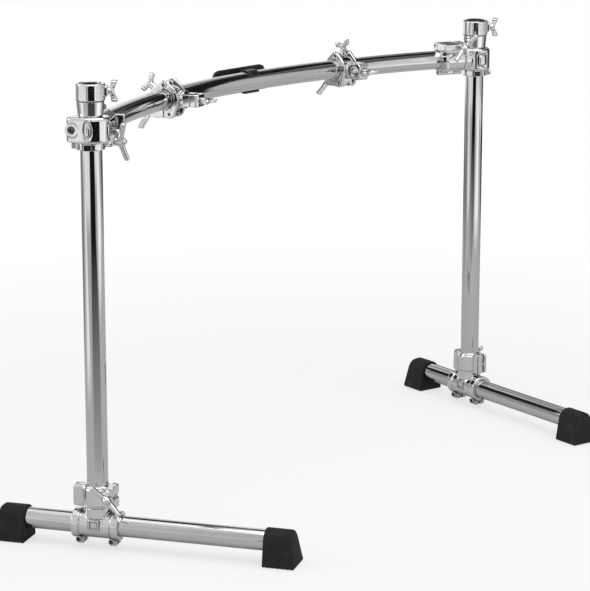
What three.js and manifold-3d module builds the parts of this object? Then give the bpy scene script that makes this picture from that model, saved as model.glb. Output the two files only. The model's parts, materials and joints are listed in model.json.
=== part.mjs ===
// Drum rack frame: a curved top bar on two uprights, each upright clamped to a foot tube on the floor.
// Millimetres, +Z up. The drummer sits on the -Y side and the bar bows away towards +Y.
// Built with the left upright's axis at x = 0 and the floor at z = 0, then moved so that the
// origin lies under the middle of the whole frame.
import * as THREE from 'three';
import { mergeVertices } from 'three/addons/utils/BufferGeometryUtils.js';
import Module from 'manifold-3d';

const wasm = await Module();
wasm.setup();

// Driving dimensions of the tubes and their layout
const tubeRadius = 38.1 / 2;
const tubeWall = 1.6;
const uprightSpacing = 1189.5;
const barBow = 155.9;
const barHeight = 753;
const baseHeight = 42;
const uprightRise = 69;
const toeInLeft = THREE.MathUtils.degToRad(21.15);
const toeInRight = THREE.MathUtils.degToRad(-17.2);

// Clearances: a tube in its bore, the curved bar in a straight bore, the bar's end in its socket,
// faces and pins that stay apart
const boreGap = 0.45;
const curveGap = 0.8;
const barEndGap = 1.7;
const faceGap = 0.3;
const pinGap = 0.35;
const splitGap = 1.2;
const overrun = 2;
const weldTolerance = 1e-4;

// Facet counts
const tubeSides = 20;
const castSides = 20;
const barSides = 10;
const barSteps = 24;
const rodSides = 8;
const arcSides = 1;

// Swing bolt and wing nut, the same on every hinged clamp
const bolt = { radius: 3.5, eyeRadius: 5.5, eyeHalf: 3.9, pinRadius: 2.4, thread: 15, pivotBack: 12 };
const nut = {
  hubRadius: 7.5, capRadius: 5.2, hubLength: 21, shoulder: 15, halfSpan: 36.5, lobeThick: 7.5,
  rootLow: 5, rootHigh: 14, tipLow: 11, tipHigh: 24, tipRound: 5,
};

// Hinged clamp halves round a tube
const clamp = {
  wall: 6.2, boltAt: 27.5, lugOut: 35, lugInner: 14, lugRound: 3, lugRelief: 1.5, backLug: 19, lugShare: 0.82,
  knuckle: 5, knuckleShare: 0.36, slotHalf: 4.3, eyeClear: 0.6,
};

// Corner clamp: collar on the upright and a socket for the bar
const corner = {
  hingeAt: 26.8, earHalf: 5,
  collarRadius: 31, collarLow: -21, collarHigh: 24, edgeRound: 4, neckEnd: 31, socketStart: 31.6, socketEnd: 88,
  boltX: 47, lugFace: 31, ribStart: 81, ribEnd: 88, ribLow: -12, ribHigh: 15, ribOut: 39.5, ribInner: 22,
  ribGroove: 1.4, ribGrooveDepth: 2.5, barMouth: 35.5,
};
const cornerNutTurn = { left: Math.PI * 0.6, right: Math.PI * 0.25 };
const collarCheek = { x: -1, y: -8, radius: 26.5 };
const collarEar = { x: -12, y: 27, radius: 12.5 };
const collarBoss = { y: 27, z: 2, radius: 12, front: -27, back: 15, slot: 3 };
const collarScrew = { headRadius: 5.6, headLength: 6, shankRadius: 3, hexRadius: 3.1, hexDepth: 3.5, tail: 3 };

// Foot clamp: sleeve on the base tube and a socket for the upright
const foot = {
  hingeAt: 36, earHalf: 9.5,
  bandRadius: 26.6, sleeveRadius: 24.6, halfLength: 44, bandWidth: 14, edgeRound: 2, slot: 3, nutTurn: Math.PI * 0.27,
  saddleRadius: 25.4, saddleLow: 12, saddleTop: 33.7, uprightSeat: 23.7, socketStart: 34, socketTop: 74, lugFace: 16.5,
  pinchX: 31, pinchZ: -26, pinchHalf: 12.5, pinchHeight: 7, pinchWidth: 7,
  padHalf: 10, padLow: -5, padHigh: 14, padOut: 26.4, padInner: 20,
};
const pinchScrew = { headRadius: 6, headLength: 6.5, shankRadius: 3, hexRadius: 3.2, hexDepth: 3.5, tail: 1 };

// Rubber feet
const rubber = {
  archRadius: 23, halfWidth: 30, length: 60, slope: 10, chamfer: 4, endWall: 5, boreGap: 0.3, archSides: 7,
};
const footBoreDepth = rubber.length - rubber.slope - rubber.endWall;
const frontReach = { left: 313, right: 318 };
const rearReach = { left: 133, right: 133 };

// The direction in which the top clamps' screws and the memory locks' screws point
const topScrewTurn = THREE.MathUtils.degToRad(-52.3);

// Memory lock under the corner clamp
const lock = { radius: 24.4, height: 12.6, edgeRound: 1.2, lugStart: 21, lugEnd: 26.5, lugHalf: 6.5 };
const lockScrew = { headRadius: 5.4, headLength: 7, shankRadius: 2.8, hexRadius: 2.8, hexDepth: 3 };

// Tube clamp on top of each upright
const top = {
  coneTop: 21.5, high: 56, coneLow: 21.9, coneHigh: 24.8, ringRadius: 26, rimRound: 1.2,
  bossLow: 33, bossHigh: 52, bossHalf: 9.5, bossEnd: 31, bossInner: 21, restGap: 0.8,
};
const bushing = { flange: 4, flangeRadius: 19, depth: 28, bore: 12.9, bodyGap: 0.35 };
const topWing = {
  hubRadius: 6.4, hubLength: 9, shankRadius: 3, halfSpan: 19.5, lobeThick: 6.5,
  rootLow: 2, rootHigh: 8, tipLow: 7, tipHigh: 17, tipRound: 3.5, capShare: 0.6, shoulderShare: 0.75,
};

// Multi-clamps on the bar
const multi = { halfLength: 19, hingeAt: 26.8, earHalf: 5, lugFace: 31, nutTurn: -0.9 };
const multiLeft = { station: 385, turn: 0, screwAngle: 0.6, screwX: -4 };
const multiRight = { station: 915, turn: Math.PI / 2, screwAngle: 1.3, screwX: 12 };
const ratchet = { radius: 17, bossOut: 31, bossInner: 18, discThick: 7, edgeRound: 1 };
const arm = {
  tubeBore: 11.4, boreAt: 22.5, halfWidth: 16.5, halfHeight: 11.5, round: 4, edgeRound: 1, neckStart: 6.5, capEnd: 38.5,
  bossRadius: 6.5, bossEnd: 46,
};
const thumb = { bossRadius: 6.5, bossInner: 24, bossEnd: 40 };

// Badge holder behind the bar, its face left bare
const badge = {
  station: 655, halfLong: 87, halfShort: 66, low: -26, high: 24.5, near: 24.5, thick: 4.5,
  strapHalf: 13, hookLow: -14, hookHigh: 31, strapThick: 3, hookTurn: 0.62,
};

// Colours of the finishes
const chromeTube = { color: 0xc9ccce, roughness: 0.08, metalness: 1 };
const chromeCast = { color: 0xd6d9da, roughness: 0.16, metalness: 1 };
const chromeBolt = { color: 0xbfc2c4, roughness: 0.2, metalness: 1 };
const blackRubber = { color: 0x26272a, roughness: 0.75, metalness: 0 };
const blackPlastic = { color: 0x1d1e20, roughness: 0.45, metalness: 0 };

// Solids
function solidOf(geometry) {
  const bare = geometry.clone();
  bare.deleteAttribute('normal');
  bare.deleteAttribute('uv');
  const merged = mergeVertices(bare, weldTolerance);
  const vertProperties = new Float32Array(merged.attributes.position.array);
  const triVerts = new Uint32Array(merged.index.array);
  return new wasm.Manifold(new wasm.Mesh({ numProp: 3, vertProperties, triVerts }));
}

function join(first, ...others) {
  return others.reduce((sum, solid) => sum.add(solid), first);
}

function cut(first, ...tools) {
  return tools.reduce((rest, tool) => rest.subtract(tool), first);
}

function meshOf(name, solid, finish) {
  const { vertProperties, triVerts } = solid.getMesh();
  const geometry = new THREE.BufferGeometry();
  geometry.setAttribute('position', new THREE.BufferAttribute(vertProperties, 3));
  geometry.setIndex(new THREE.BufferAttribute(triVerts, 1));
  geometry.computeVertexNormals();
  const mesh = new THREE.Mesh(geometry, new THREE.MeshStandardMaterial(finish));
  mesh.name = name;
  return mesh;
}

// A frame whose axes are given as three directions, with its origin at a point
function frameOf(xAxis, yAxis, zAxis, origin) {
  return new THREE.Matrix4().makeBasis(xAxis, yAxis, zAxis).setPosition(origin);
}

function block(xLow, xHigh, yLow, yHigh, zLow, zHigh) {
  const box = new THREE.BoxGeometry(xHigh - xLow, yHigh - yLow, zHigh - zLow);
  box.translate((xLow + xHigh) / 2, (yLow + yHigh) / 2, (zLow + zHigh) / 2);
  return solidOf(box);
}

// A round bar between two points
function rod(radius, start, end, sides = rodSides) {
  const from = new THREE.Vector3(...start);
  const to = new THREE.Vector3(...end);
  const along = to.clone().sub(from);
  const shaft = new THREE.CylinderGeometry(radius, radius, along.length(), sides);
  const turn = new THREE.Quaternion().setFromUnitVectors(new THREE.Vector3(0, 1, 0), along.normalize());
  shaft.applyQuaternion(turn);
  shaft.translate(...from.add(to).divideScalar(2).toArray());
  return solidOf(shaft);
}

// A turned body: pairs of radius and height, closed on the axis or on itself, about the Z axis
function turned(pairs, sides = castSides) {
  const points = pairs.map(([radius, height]) => new THREE.Vector2(radius, height));
  const body = new THREE.LatheGeometry(points, sides);
  body.rotateX(Math.PI / 2);
  return solidOf(body);
}

// A flat outline in X and Y carried from one height to another
function plate(outline, zLow, zHigh, curveSegments = arcSides) {
  const shape = Array.isArray(outline) ? new THREE.Shape(outline.map((p) => new THREE.Vector2(...p))) : outline;
  const body = new THREE.ExtrudeGeometry(shape, { depth: zHigh - zLow, bevelEnabled: false, curveSegments });
  body.translate(0, 0, zLow);
  return solidOf(body);
}

// A rounded rectangle as an outline
function softBox(xLow, xHigh, yLow, yHigh, round) {
  const shape = new THREE.Shape();
  shape.moveTo(xLow + round, yLow);
  shape.lineTo(xHigh - round, yLow);
  shape.absarc(xHigh - round, yLow + round, round, -Math.PI / 2, 0);
  shape.lineTo(xHigh, yHigh - round);
  shape.absarc(xHigh - round, yHigh - round, round, 0, Math.PI / 2);
  shape.lineTo(xLow + round, yHigh);
  shape.absarc(xLow + round, yHigh - round, round, Math.PI / 2, Math.PI);
  shape.lineTo(xLow, yLow + round);
  shape.absarc(xLow + round, yLow + round, round, Math.PI, Math.PI * 1.5);
  return shape;
}

// A cylinder's profile with rounded outer edges, from its axis outwards
function roundedProfile(radius, zLow, zHigh, round, steps = arcSides) {
  const pairs = [[0, zLow]];
  for (let i = 0; i <= steps; i += 1) {
    const angle = (i / steps) * Math.PI / 2;
    pairs.push([radius - round + round * Math.sin(angle), zLow + round - round * Math.cos(angle)]);
  }
  for (let i = 0; i <= steps; i += 1) {
    const angle = (i / steps) * Math.PI / 2;
    pairs.push([radius - round + round * Math.cos(angle), zHigh - round + round * Math.sin(angle)]);
  }
  pairs.push([0, zHigh]);
  return pairs;
}

// Turn a solid's own Z axis to another direction before it is used
function turnedTo(matrix, solid) {
  return solid.transform(matrix.elements);
}

// Straight tube, open at both ends, from one height to another
function straightTube(length) {
  const inner = tubeRadius - tubeWall;
  return turned([[inner, 0], [tubeRadius, 0], [tubeRadius, length], [inner, length], [inner, 0]], tubeSides);
}

// Curved bar: a tube carried along a flat arc that passes over both upright axes
const arcRadius = ((uprightSpacing / 2) ** 2 + barBow ** 2) / (2 * barBow);
const halfAngle = Math.asin(uprightSpacing / 2 / arcRadius);
const barEnd = corner.barMouth + barEndGap;
const barLength = (arcRadius * halfAngle - barEnd) * 2;

function barFrame(station) {
  const angle = station / arcRadius - halfAngle;
  const along = new THREE.Vector3(Math.cos(angle), -Math.sin(angle), 0);
  const outward = new THREE.Vector3(Math.sin(angle), Math.cos(angle), 0);
  const centre = new THREE.Vector3(uprightSpacing / 2, barBow - arcRadius, barHeight);
  return { along, outward, point: centre.addScaledVector(outward, arcRadius) };
}

class BarPath extends THREE.Curve {
  getPoint(t, target = new THREE.Vector3()) {
    return target.copy(barFrame(barEnd + t * barLength).point);
  }
}

function curvedBar() {
  const section = new THREE.Shape().absarc(0, 0, tubeRadius, 0, Math.PI * 2);
  section.holes.push(new THREE.Path().absarc(0, 0, tubeRadius - tubeWall, 0, Math.PI * 2, true));
  const extrudePath = new BarPath();
  return solidOf(new THREE.ExtrudeGeometry(section, { steps: barSteps, extrudePath, curveSegments: barSides }));
}

// Badge holder: a plate with cut corners behind the bar, a strap over the tube and a hook under it
function badgePlate() {
  const face = plate([[-badge.halfLong, badge.low], [badge.halfLong, badge.low],
    [badge.halfLong, 0], [badge.halfShort, badge.high], [-badge.halfShort, badge.high],
    [-badge.halfLong, 0]], 0, badge.thick);
  const upright = new THREE.Matrix4().makeBasis(
    new THREE.Vector3(1, 0, 0), new THREE.Vector3(0, 0, 1), new THREE.Vector3(0, -1, 0));
  upright.setPosition(0, badge.near + badge.thick, 0);
  const inner = tubeRadius + curveGap;
  const reach = inner + badge.strapThick + overrun;
  const strap = rod(inner + badge.strapThick, [-badge.strapHalf, 0, 0], [badge.strapHalf, 0, 0], castSides);
  const hook = rod(inner + badge.strapThick, [badge.hookLow, 0, 0], [badge.hookHigh, 0, 0], castSides)
    .intersect(block(badge.hookLow, badge.hookHigh, -reach, reach, -reach, 0));
  const mouth = plate([[0, 0], [-reach * 2 * Math.cos(badge.hookTurn), reach * 2 * Math.sin(badge.hookTurn)],
    [-reach * 2, -reach * 2], [0, -reach * 2]], -reach * 2, reach * 2);
  const acrossBar = new THREE.Matrix4().makeBasis(
    new THREE.Vector3(0, 1, 0), new THREE.Vector3(0, 0, 1), new THREE.Vector3(1, 0, 0));
  const seat = block(-badge.strapHalf, badge.strapHalf, inner, badge.near + badge.thick / 2,
    badge.low / 2, -badge.low / 2);
  const clip = cut(join(cut(join(strap, hook), turnedTo(acrossBar, mouth)), seat),
    rod(inner, [-reach * 2, 0, 0], [reach * 2, 0, 0], castSides));
  return join(turnedTo(upright, face), clip);
}

// Hinged clamp halves. The tube runs along Z, the body is on the +X side and the jaw on the -X side,
// the hinge is at +Y and the swing bolt at -Y, pivoted in the body and tightened against the jaw.
function clampShell(spec, side) {
  const outer = spec.bore + clamp.wall;
  const reach = outer * 2;
  const half = splitGap / 2;
  const keep = side > 0 ? block(half, reach, -reach, reach, spec.low, spec.high)
    : block(-reach, -half, -reach, reach, spec.low, spec.high);
  const ring = rod(outer, [0, 0, spec.low], [0, 0, spec.high], castSides).intersect(keep);
  const depth = side > 0 ? clamp.backLug : spec.lugFace;
  const outline = [[half, -clamp.lugInner], [half, -clamp.lugOut],
    [depth - clamp.lugRound, -clamp.lugOut], [depth, -clamp.lugOut + clamp.lugRound],
    [depth, -clamp.boltAt + clamp.lugRound * 2], [Math.min(depth, outer * clamp.lugShare), -clamp.lugInner]];
  const flip = outline.map(([x, y]) => [x * side, y]);
  const lug = plate(side > 0 ? flip : flip.reverse(), spec.low, spec.high);
  const ear = side > 0 ? block(half, spec.earHalf, clamp.lugInner, spec.hingeAt, spec.low, spec.high)
    : block(-spec.earHalf, -half, clamp.lugInner, spec.hingeAt, spec.low, spec.high);
  return join(ring, lug, ear);
}

function knuckleSpans(spec) {
  const length = spec.high - spec.low;
  const first = spec.low + length * clamp.knuckleShare;
  const last = spec.high - length * clamp.knuckleShare;
  return { first, last };
}

function clampTools(spec) {
  const reach = (spec.bore + clamp.wall) * 3;
  const bore = rod(spec.bore, [0, 0, spec.low - overrun], [0, 0, spec.high + overrun], castSides);
  const slotInner = clamp.boltAt - clamp.slotHalf;
  const slot = block(-reach, bolt.pivotBack, -reach, -slotInner, spec.boltZ - clamp.slotHalf,
    spec.boltZ + clamp.slotHalf);
  const eye = rod(bolt.eyeRadius + clamp.eyeClear, [bolt.pivotBack, -clamp.boltAt, spec.boltZ - clamp.slotHalf],
    [bolt.pivotBack, -clamp.boltAt, spec.boltZ + clamp.slotHalf]);
  const eyeMouth = block(bolt.pivotBack - bolt.eyeRadius, bolt.pivotBack + bolt.eyeRadius + clamp.eyeClear,
    -reach, -clamp.boltAt, spec.boltZ - clamp.slotHalf, spec.boltZ + clamp.slotHalf);
  const pinHole = rod(bolt.pinRadius + pinGap, [bolt.pivotBack, -clamp.boltAt, spec.low - overrun],
    [bolt.pivotBack, -clamp.boltAt, spec.high + overrun]);
  return { bore, slot, eye, eyeMouth, pinHole };
}

function clampBody(spec, shellLow = spec.low) {
  const { first, last } = knuckleSpans(spec);
  const tools = clampTools(spec);
  const knuckle = rod(clamp.knuckle, [0, spec.hingeAt, first + faceGap], [0, spec.hingeAt, last - faceGap]);
  const room = clamp.knuckle + pinGap * 2;
  const lowRoom = rod(room, [0, spec.hingeAt, spec.low - faceGap], [0, spec.hingeAt, first]);
  const highRoom = rod(room, [0, spec.hingeAt, last], [0, spec.hingeAt, spec.high + overrun]);
  const hole = rod(bolt.pinRadius + pinGap, [0, spec.hingeAt, spec.low], [0, spec.hingeAt, spec.high]);
  return cut(join(clampShell({ ...spec, low: shellLow }, 1), knuckle), lowRoom, highRoom, hole,
    tools.bore, tools.slot, tools.eye, tools.eyeMouth, tools.pinHole);
}

function clampJaw(spec) {
  const { first, last } = knuckleSpans(spec);
  const tools = clampTools(spec);
  const room = clamp.knuckle + pinGap * 2;
  const middle = rod(room, [0, spec.hingeAt, first], [0, spec.hingeAt, last]);
  const low = rod(clamp.knuckle, [0, spec.hingeAt, spec.low], [0, spec.hingeAt, first - faceGap]);
  const high = rod(clamp.knuckle, [0, spec.hingeAt, last + faceGap], [0, spec.hingeAt, spec.high]);
  const pin = rod(bolt.pinRadius, [0, spec.hingeAt, spec.low], [0, spec.hingeAt, spec.high]);
  const reliefStart = -clamp.boltAt - bolt.radius;
  const reliefEnd = -clamp.lugOut - overrun;
  const relief = plate([[-spec.lugFace - overrun, reliefStart], [-spec.lugFace - overrun, reliefEnd],
    [-spec.lugFace + clamp.lugRelief, reliefEnd], [-spec.lugFace + clamp.lugRelief, -clamp.lugOut],
    [-spec.lugFace, reliefStart]], spec.low - overrun, spec.high + overrun);
  return join(cut(clampShell(spec, -1), middle, tools.bore, tools.slot, relief), low, high, pin);
}

// Swing bolt: an eye on a cross pin and a threaded shank pointing at -X, its pin on the Z axis
function swingBolt(spec) {
  const tip = bolt.pivotBack + spec.lugFace + faceGap + bolt.thread;
  const eye = rod(bolt.eyeRadius, [0, 0, -bolt.eyeHalf], [0, 0, bolt.eyeHalf]);
  const pin = rod(bolt.pinRadius, [0, 0, spec.low - spec.boltZ], [0, 0, spec.high - spec.boltZ]);
  const shank = rod(bolt.radius, [0, 0, 0], [-tip, 0, 0]);
  return join(eye, pin, shank);
}

// Wings of a nut or a screw: an outline across the axis, with the axis along Z
function wings(size) {
  const shape = new THREE.Shape();
  const tip = size.halfSpan - size.tipRound;
  shape.moveTo(0, size.rootLow);
  shape.lineTo(tip, size.tipLow);
  shape.quadraticCurveTo(size.halfSpan, size.tipLow, size.halfSpan, size.tipLow + size.tipRound);
  shape.lineTo(size.halfSpan, size.tipHigh - size.tipRound);
  shape.quadraticCurveTo(size.halfSpan, size.tipHigh, tip, size.tipHigh);
  shape.lineTo(0, size.rootHigh);
  const lobe = plate(shape, -size.lobeThick / 2, size.lobeThick / 2);
  const upright = new THREE.Matrix4().makeBasis(
    new THREE.Vector3(1, 0, 0), new THREE.Vector3(0, 0, 1), new THREE.Vector3(0, -1, 0));
  const opposite = new THREE.Matrix4().makeRotationZ(Math.PI);
  const right = turnedTo(upright, lobe);
  return join(right, turnedTo(opposite, right));
}

function wingNut() {
  const hub = turned([[0, 0], [nut.hubRadius, 0], [nut.hubRadius, nut.shoulder],
    [nut.capRadius, nut.hubLength - overrun], [nut.capRadius / 2, nut.hubLength], [0, nut.hubLength]], rodSides);
  const hole = rod(bolt.radius + pinGap, [0, 0, -overrun], [0, 0, bolt.thread + overrun / 2]);
  return cut(join(hub, wings(nut)), hole);
}

// Wing screw: wings and hub with the axis along Z, and a shank that reaches down to the tube
function wingScrew(size, shankTip) {
  const hub = turned([[0, 0], [size.hubRadius, 0], [size.hubRadius, size.hubLength * size.shoulderShare],
    [size.hubRadius * size.capShare, size.hubLength], [0, size.hubLength]], rodSides);
  return join(hub, wings(size), rod(size.shankRadius, [0, 0, shankTip], [0, 0, overrun / 2]));
}

// Socket screw: head above the seat at z = 0, shank below it, a hexagon socket in the head
function socketScrew(size, shankLength) {
  const head = turned(roundedProfile(size.headRadius, 0, size.headLength, size.headRadius / 6), rodSides);
  const shank = rod(size.shankRadius, [0, 0, -shankLength], [0, 0, overrun / 2]);
  const socket = rod(size.hexRadius, [0, 0, size.headLength - size.hexDepth], [0, 0, size.headLength + overrun], 6);
  return cut(join(head, shank), socket);
}

// Corner clamp, in a frame whose X runs into the bar, with Z along the upright
const socketMiddle = (corner.socketStart + corner.socketEnd) / 2;
const socketOffset = socketMiddle ** 2 / (2 * arcRadius);
const barBore = tubeRadius + curveGap;
const uprightBore = tubeRadius + boreGap;
const cornerClamp = {
  bore: barBore, low: corner.socketStart - socketMiddle, high: corner.socketEnd - socketMiddle,
  boltZ: corner.boltX - socketMiddle, lugFace: corner.lugFace, hingeAt: corner.hingeAt,
  earHalf: corner.earHalf,
};
const xDir = new THREE.Vector3(1, 0, 0);
const yDir = new THREE.Vector3(0, 1, 0);
const zDir = new THREE.Vector3(0, 0, 1);
const socketFrame = frameOf(yDir, zDir, xDir, new THREE.Vector3(socketMiddle, socketOffset, 0));

// A round form with softened rims, standing on end at a place in the clamp's plan
function collarPost(radius, x, y) {
  const profile = roundedProfile(radius, corner.collarLow, corner.collarHigh, corner.edgeRound, arcSides * 2);
  return turned(profile).translate(x, y, 0);
}

function cornerBody() {
  const outer = barBore + clamp.wall;
  // the collar's plan is a round one drawn out to a cheek on one side and to the screw's ear on the other
  const collar = wasm.Manifold.hull([
    collarPost(corner.collarRadius, 0, 0),
    collarPost(collarCheek.radius, collarCheek.x, collarCheek.y),
    collarPost(collarEar.radius, collarEar.x, collarEar.y)]);
  const neck = rod(outer, [corner.neckEnd / 4, socketOffset, 0], [corner.neckEnd, socketOffset, 0], castSides)
    .intersect(block(0, corner.neckEnd, -outer * 2, outer * 2, corner.collarLow, corner.collarHigh));
  const socket = turnedTo(socketFrame, clampBody(cornerClamp, corner.neckEnd - overrun - socketMiddle));
  const boss = join(
    rod(collarBoss.radius, [collarBoss.front, collarBoss.y, collarBoss.z],
      [collarBoss.back, collarBoss.y, collarBoss.z], castSides / 2),
    block(collarBoss.front + overrun, collarBoss.back, 0, collarBoss.y, collarBoss.z - collarBoss.radius,
      collarBoss.z + collarBoss.radius));
  const bore = rod(uprightBore, [0, 0, corner.collarLow - overrun], [0, 0, corner.collarHigh + overrun], castSides);
  const barHole = rod(barBore, [corner.barMouth, socketOffset, 0], [corner.socketEnd + overrun, socketOffset, 0],
    castSides);
  const slot = block(-collarBoss.slot / 2, collarBoss.slot / 2, 0, collarBoss.y + collarBoss.radius + overrun,
    corner.collarLow - overrun, corner.collarHigh + overrun);
  const headRoom = rod(collarScrew.headRadius + pinGap, [collarBoss.front - overrun, collarBoss.y, collarBoss.z],
    [collarBoss.front + collarScrew.headLength, collarBoss.y, collarBoss.z]);
  const shankRoom = rod(collarScrew.shankRadius + pinGap, [collarBoss.front, collarBoss.y, collarBoss.z],
    [collarBoss.back - collarScrew.tail, collarBoss.y, collarBoss.z]);
  return cut(join(collar, neck, boss, socket), bore, barHole, slot, headRoom, shankRoom);
}

function cornerJaw() {
  const rib = cut(
    plate(softBox(-corner.ribOut, -corner.ribInner, corner.ribLow, corner.ribHigh, corner.edgeRound),
      corner.ribStart - socketMiddle, corner.ribEnd - socketMiddle),
    block(-corner.ribOut - overrun, -corner.ribOut + corner.ribGrooveDepth,
      -corner.ribGroove / 2, corner.ribGroove / 2,
      corner.ribStart - socketMiddle - overrun, corner.ribEnd - socketMiddle + overrun));
  return join(clampJaw(cornerClamp), rib);
}

// Foot clamp, in a frame whose X runs along the base tube towards the front foot
const footMiddle = (foot.socketTop + foot.socketStart) / 2;
const footClamp = {
  bore: uprightBore, low: foot.socketStart - footMiddle, high: foot.socketTop - footMiddle, boltZ: 0,
  lugFace: foot.lugFace, hingeAt: foot.hingeAt, earHalf: foot.earHalf,
};

function footBody(turn) {
  const band = foot.halfLength - foot.bandWidth;
  const half = [
    [0, -foot.halfLength], [foot.bandRadius - foot.edgeRound, -foot.halfLength],
    [foot.bandRadius, -foot.halfLength + foot.edgeRound], [foot.bandRadius, -band - foot.edgeRound],
    [foot.sleeveRadius, -band], [foot.sleeveRadius, band], [foot.bandRadius, band + foot.edgeRound],
    [foot.bandRadius, foot.halfLength - foot.edgeRound], [foot.bandRadius - foot.edgeRound, foot.halfLength],
    [0, foot.halfLength]];
  const alongX = frameOf(yDir, zDir, xDir, new THREE.Vector3());
  const sleeve = turnedTo(alongX, turned(half));
  const lugs = [-foot.pinchX, foot.pinchX].map((x) => turnedTo(
    frameOf(xDir, zDir, yDir.clone().negate(), new THREE.Vector3(x, 0, foot.pinchZ)),
    plate(softBox(-foot.pinchWidth, foot.pinchWidth, -foot.pinchHeight, foot.pinchHeight + foot.edgeRound,
      foot.edgeRound), -foot.pinchHalf, foot.pinchHalf)));
  const pad = turnedTo(frameOf(xDir, zDir, yDir.clone().negate(), new THREE.Vector3()),
    plate(softBox(-foot.padHalf, foot.padHalf, foot.padLow, foot.padHigh, foot.edgeRound), foot.padInner, foot.padOut));
  const saddle = rod(foot.saddleRadius, [0, 0, foot.saddleLow], [0, 0, foot.saddleTop], castSides);
  const socketFrameUp = frameOf(yDir, xDir.clone().negate(), zDir, new THREE.Vector3(0, 0, footMiddle));
  const spin = new THREE.Matrix4().makeRotationZ(turn);
  const socket = turnedTo(spin.clone().multiply(socketFrameUp),
    clampBody(footClamp, foot.saddleTop - overrun - footMiddle));
  const tubeBore = rod(uprightBore, [-foot.halfLength - overrun, 0, 0], [foot.halfLength + overrun, 0, 0], castSides);
  const uprightHole = rod(uprightBore, [0, 0, foot.uprightSeat], [0, 0, foot.socketTop + overrun], castSides);
  const slot = block(-foot.halfLength - overrun, foot.halfLength + overrun, -foot.slot / 2, foot.slot / 2,
    -foot.bandRadius * 2, 0);
  const holes = [-foot.pinchX, foot.pinchX].map((x) => rod(pinchScrew.shankRadius + pinGap,
    [x, -foot.pinchHalf - overrun, foot.pinchZ], [x, foot.pinchHalf + overrun, foot.pinchZ]));
  const headRooms = [-foot.pinchX, foot.pinchX].map((x) => rod(pinchScrew.headRadius + pinGap,
    [x, -foot.pinchHalf - pinchScrew.headLength * 2, foot.pinchZ], [x, -foot.pinchHalf, foot.pinchZ]));
  return cut(join(sleeve, ...lugs, pad, saddle, socket), tubeBore, uprightHole, slot, ...holes, ...headRooms);
}

// Rubber foot: arched over the tube, flared to a flat sole, its bore open at x = 0
function rubberFoot() {
  const section = new THREE.Shape();
  const flare = Math.asin((rubber.halfWidth - rubber.archRadius) / baseHeight) / 2;
  section.moveTo(-rubber.halfWidth + rubber.chamfer, -baseHeight);
  section.lineTo(rubber.halfWidth - rubber.chamfer, -baseHeight);
  section.lineTo(rubber.halfWidth, -baseHeight + rubber.chamfer);
  section.absarc(0, 0, rubber.archRadius, flare, Math.PI - flare);
  section.lineTo(-rubber.halfWidth, -baseHeight + rubber.chamfer);
  const body = turnedTo(frameOf(yDir, zDir, xDir, new THREE.Vector3()),
    plate(section, 0, rubber.length, rubber.archSides));
  const side = new THREE.Shape();
  const rise = rubber.archRadius + overrun;
  side.moveTo(0, -baseHeight);
  side.lineTo(rubber.length - rubber.chamfer, -baseHeight);
  side.lineTo(rubber.length, -baseHeight + rubber.chamfer);
  side.lineTo(rubber.length - rubber.slope, rubber.archRadius - rubber.chamfer);
  side.lineTo(rubber.length - rubber.slope - rubber.chamfer, rubber.archRadius);
  side.lineTo(rubber.chamfer / 2, rise);
  side.lineTo(0, rubber.archRadius - rubber.chamfer / 2);
  const limit = turnedTo(frameOf(xDir, zDir, yDir.clone().negate(), new THREE.Vector3()),
    plate(side, -rubber.halfWidth - overrun, rubber.halfWidth + overrun));
  const bore = rod(tubeRadius + rubber.boreGap, [-overrun, 0, 0], [footBoreDepth, 0, 0], tubeSides);
  return cut(body.intersect(limit), bore);
}

// Memory lock, with its screw pointing outwards along X
function memoryLock() {
  const ring = turned(roundedProfile(lock.radius, 0, lock.height, lock.edgeRound));
  const lug = block(lock.lugStart, lock.lugEnd, -lock.lugHalf, lock.lugHalf, 0, lock.height);
  const bore = rod(uprightBore, [0, 0, -overrun], [0, 0, lock.height + overrun], castSides);
  const hole = rod(lockScrew.shankRadius + pinGap, [0, 0, lock.height / 2],
    [lock.lugEnd + overrun, 0, lock.height / 2]);
  return cut(join(ring, lug), bore, hole);
}

// Tube clamp on the upright's upper end, its boss along X
function topClampBody() {
  const shell = turned([[0, 0], [top.coneLow, 0], [top.coneHigh, top.coneTop - faceGap],
    [top.ringRadius, top.coneTop], [top.ringRadius, top.high - top.rimRound],
    [top.ringRadius - top.rimRound, top.high], [0, top.high]]);
  const boss = block(top.bossInner, top.bossEnd, -top.bossHalf, top.bossHalf, top.bossLow, top.bossHigh);
  const bore = rod(uprightBore, [0, 0, -overrun], [0, 0, top.high + overrun], castSides);
  const middle = (top.bossLow + top.bossHigh) / 2;
  const hole = rod(topWing.shankRadius + pinGap, [0, 0, middle], [top.bossEnd + overrun, 0, middle]);
  return cut(join(shell, boss), bore, hole);
}

function topBushing() {
  const body = tubeRadius - tubeWall - bushing.bodyGap;
  return turned([[bushing.bore, -bushing.depth], [body, -bushing.depth], [body, faceGap],
    [bushing.flangeRadius, faceGap], [bushing.flangeRadius, bushing.flange], [bushing.bore, bushing.flange],
    [bushing.bore, -bushing.depth]], tubeSides);
}

// Multi-clamp, in a frame whose X runs along the bar, with Y away from the drummer
const multiClamp = {
  bore: barBore, low: -multi.halfLength, high: multi.halfLength, boltZ: 0, lugFace: multi.lugFace,
  hingeAt: multi.hingeAt, earHalf: multi.earHalf,
};
const multiSocket = frameOf(yDir.clone().negate(), zDir, xDir.clone().negate(), new THREE.Vector3());
const ratchetFrame = frameOf(xDir, zDir, yDir.clone().negate(), new THREE.Vector3());

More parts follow.
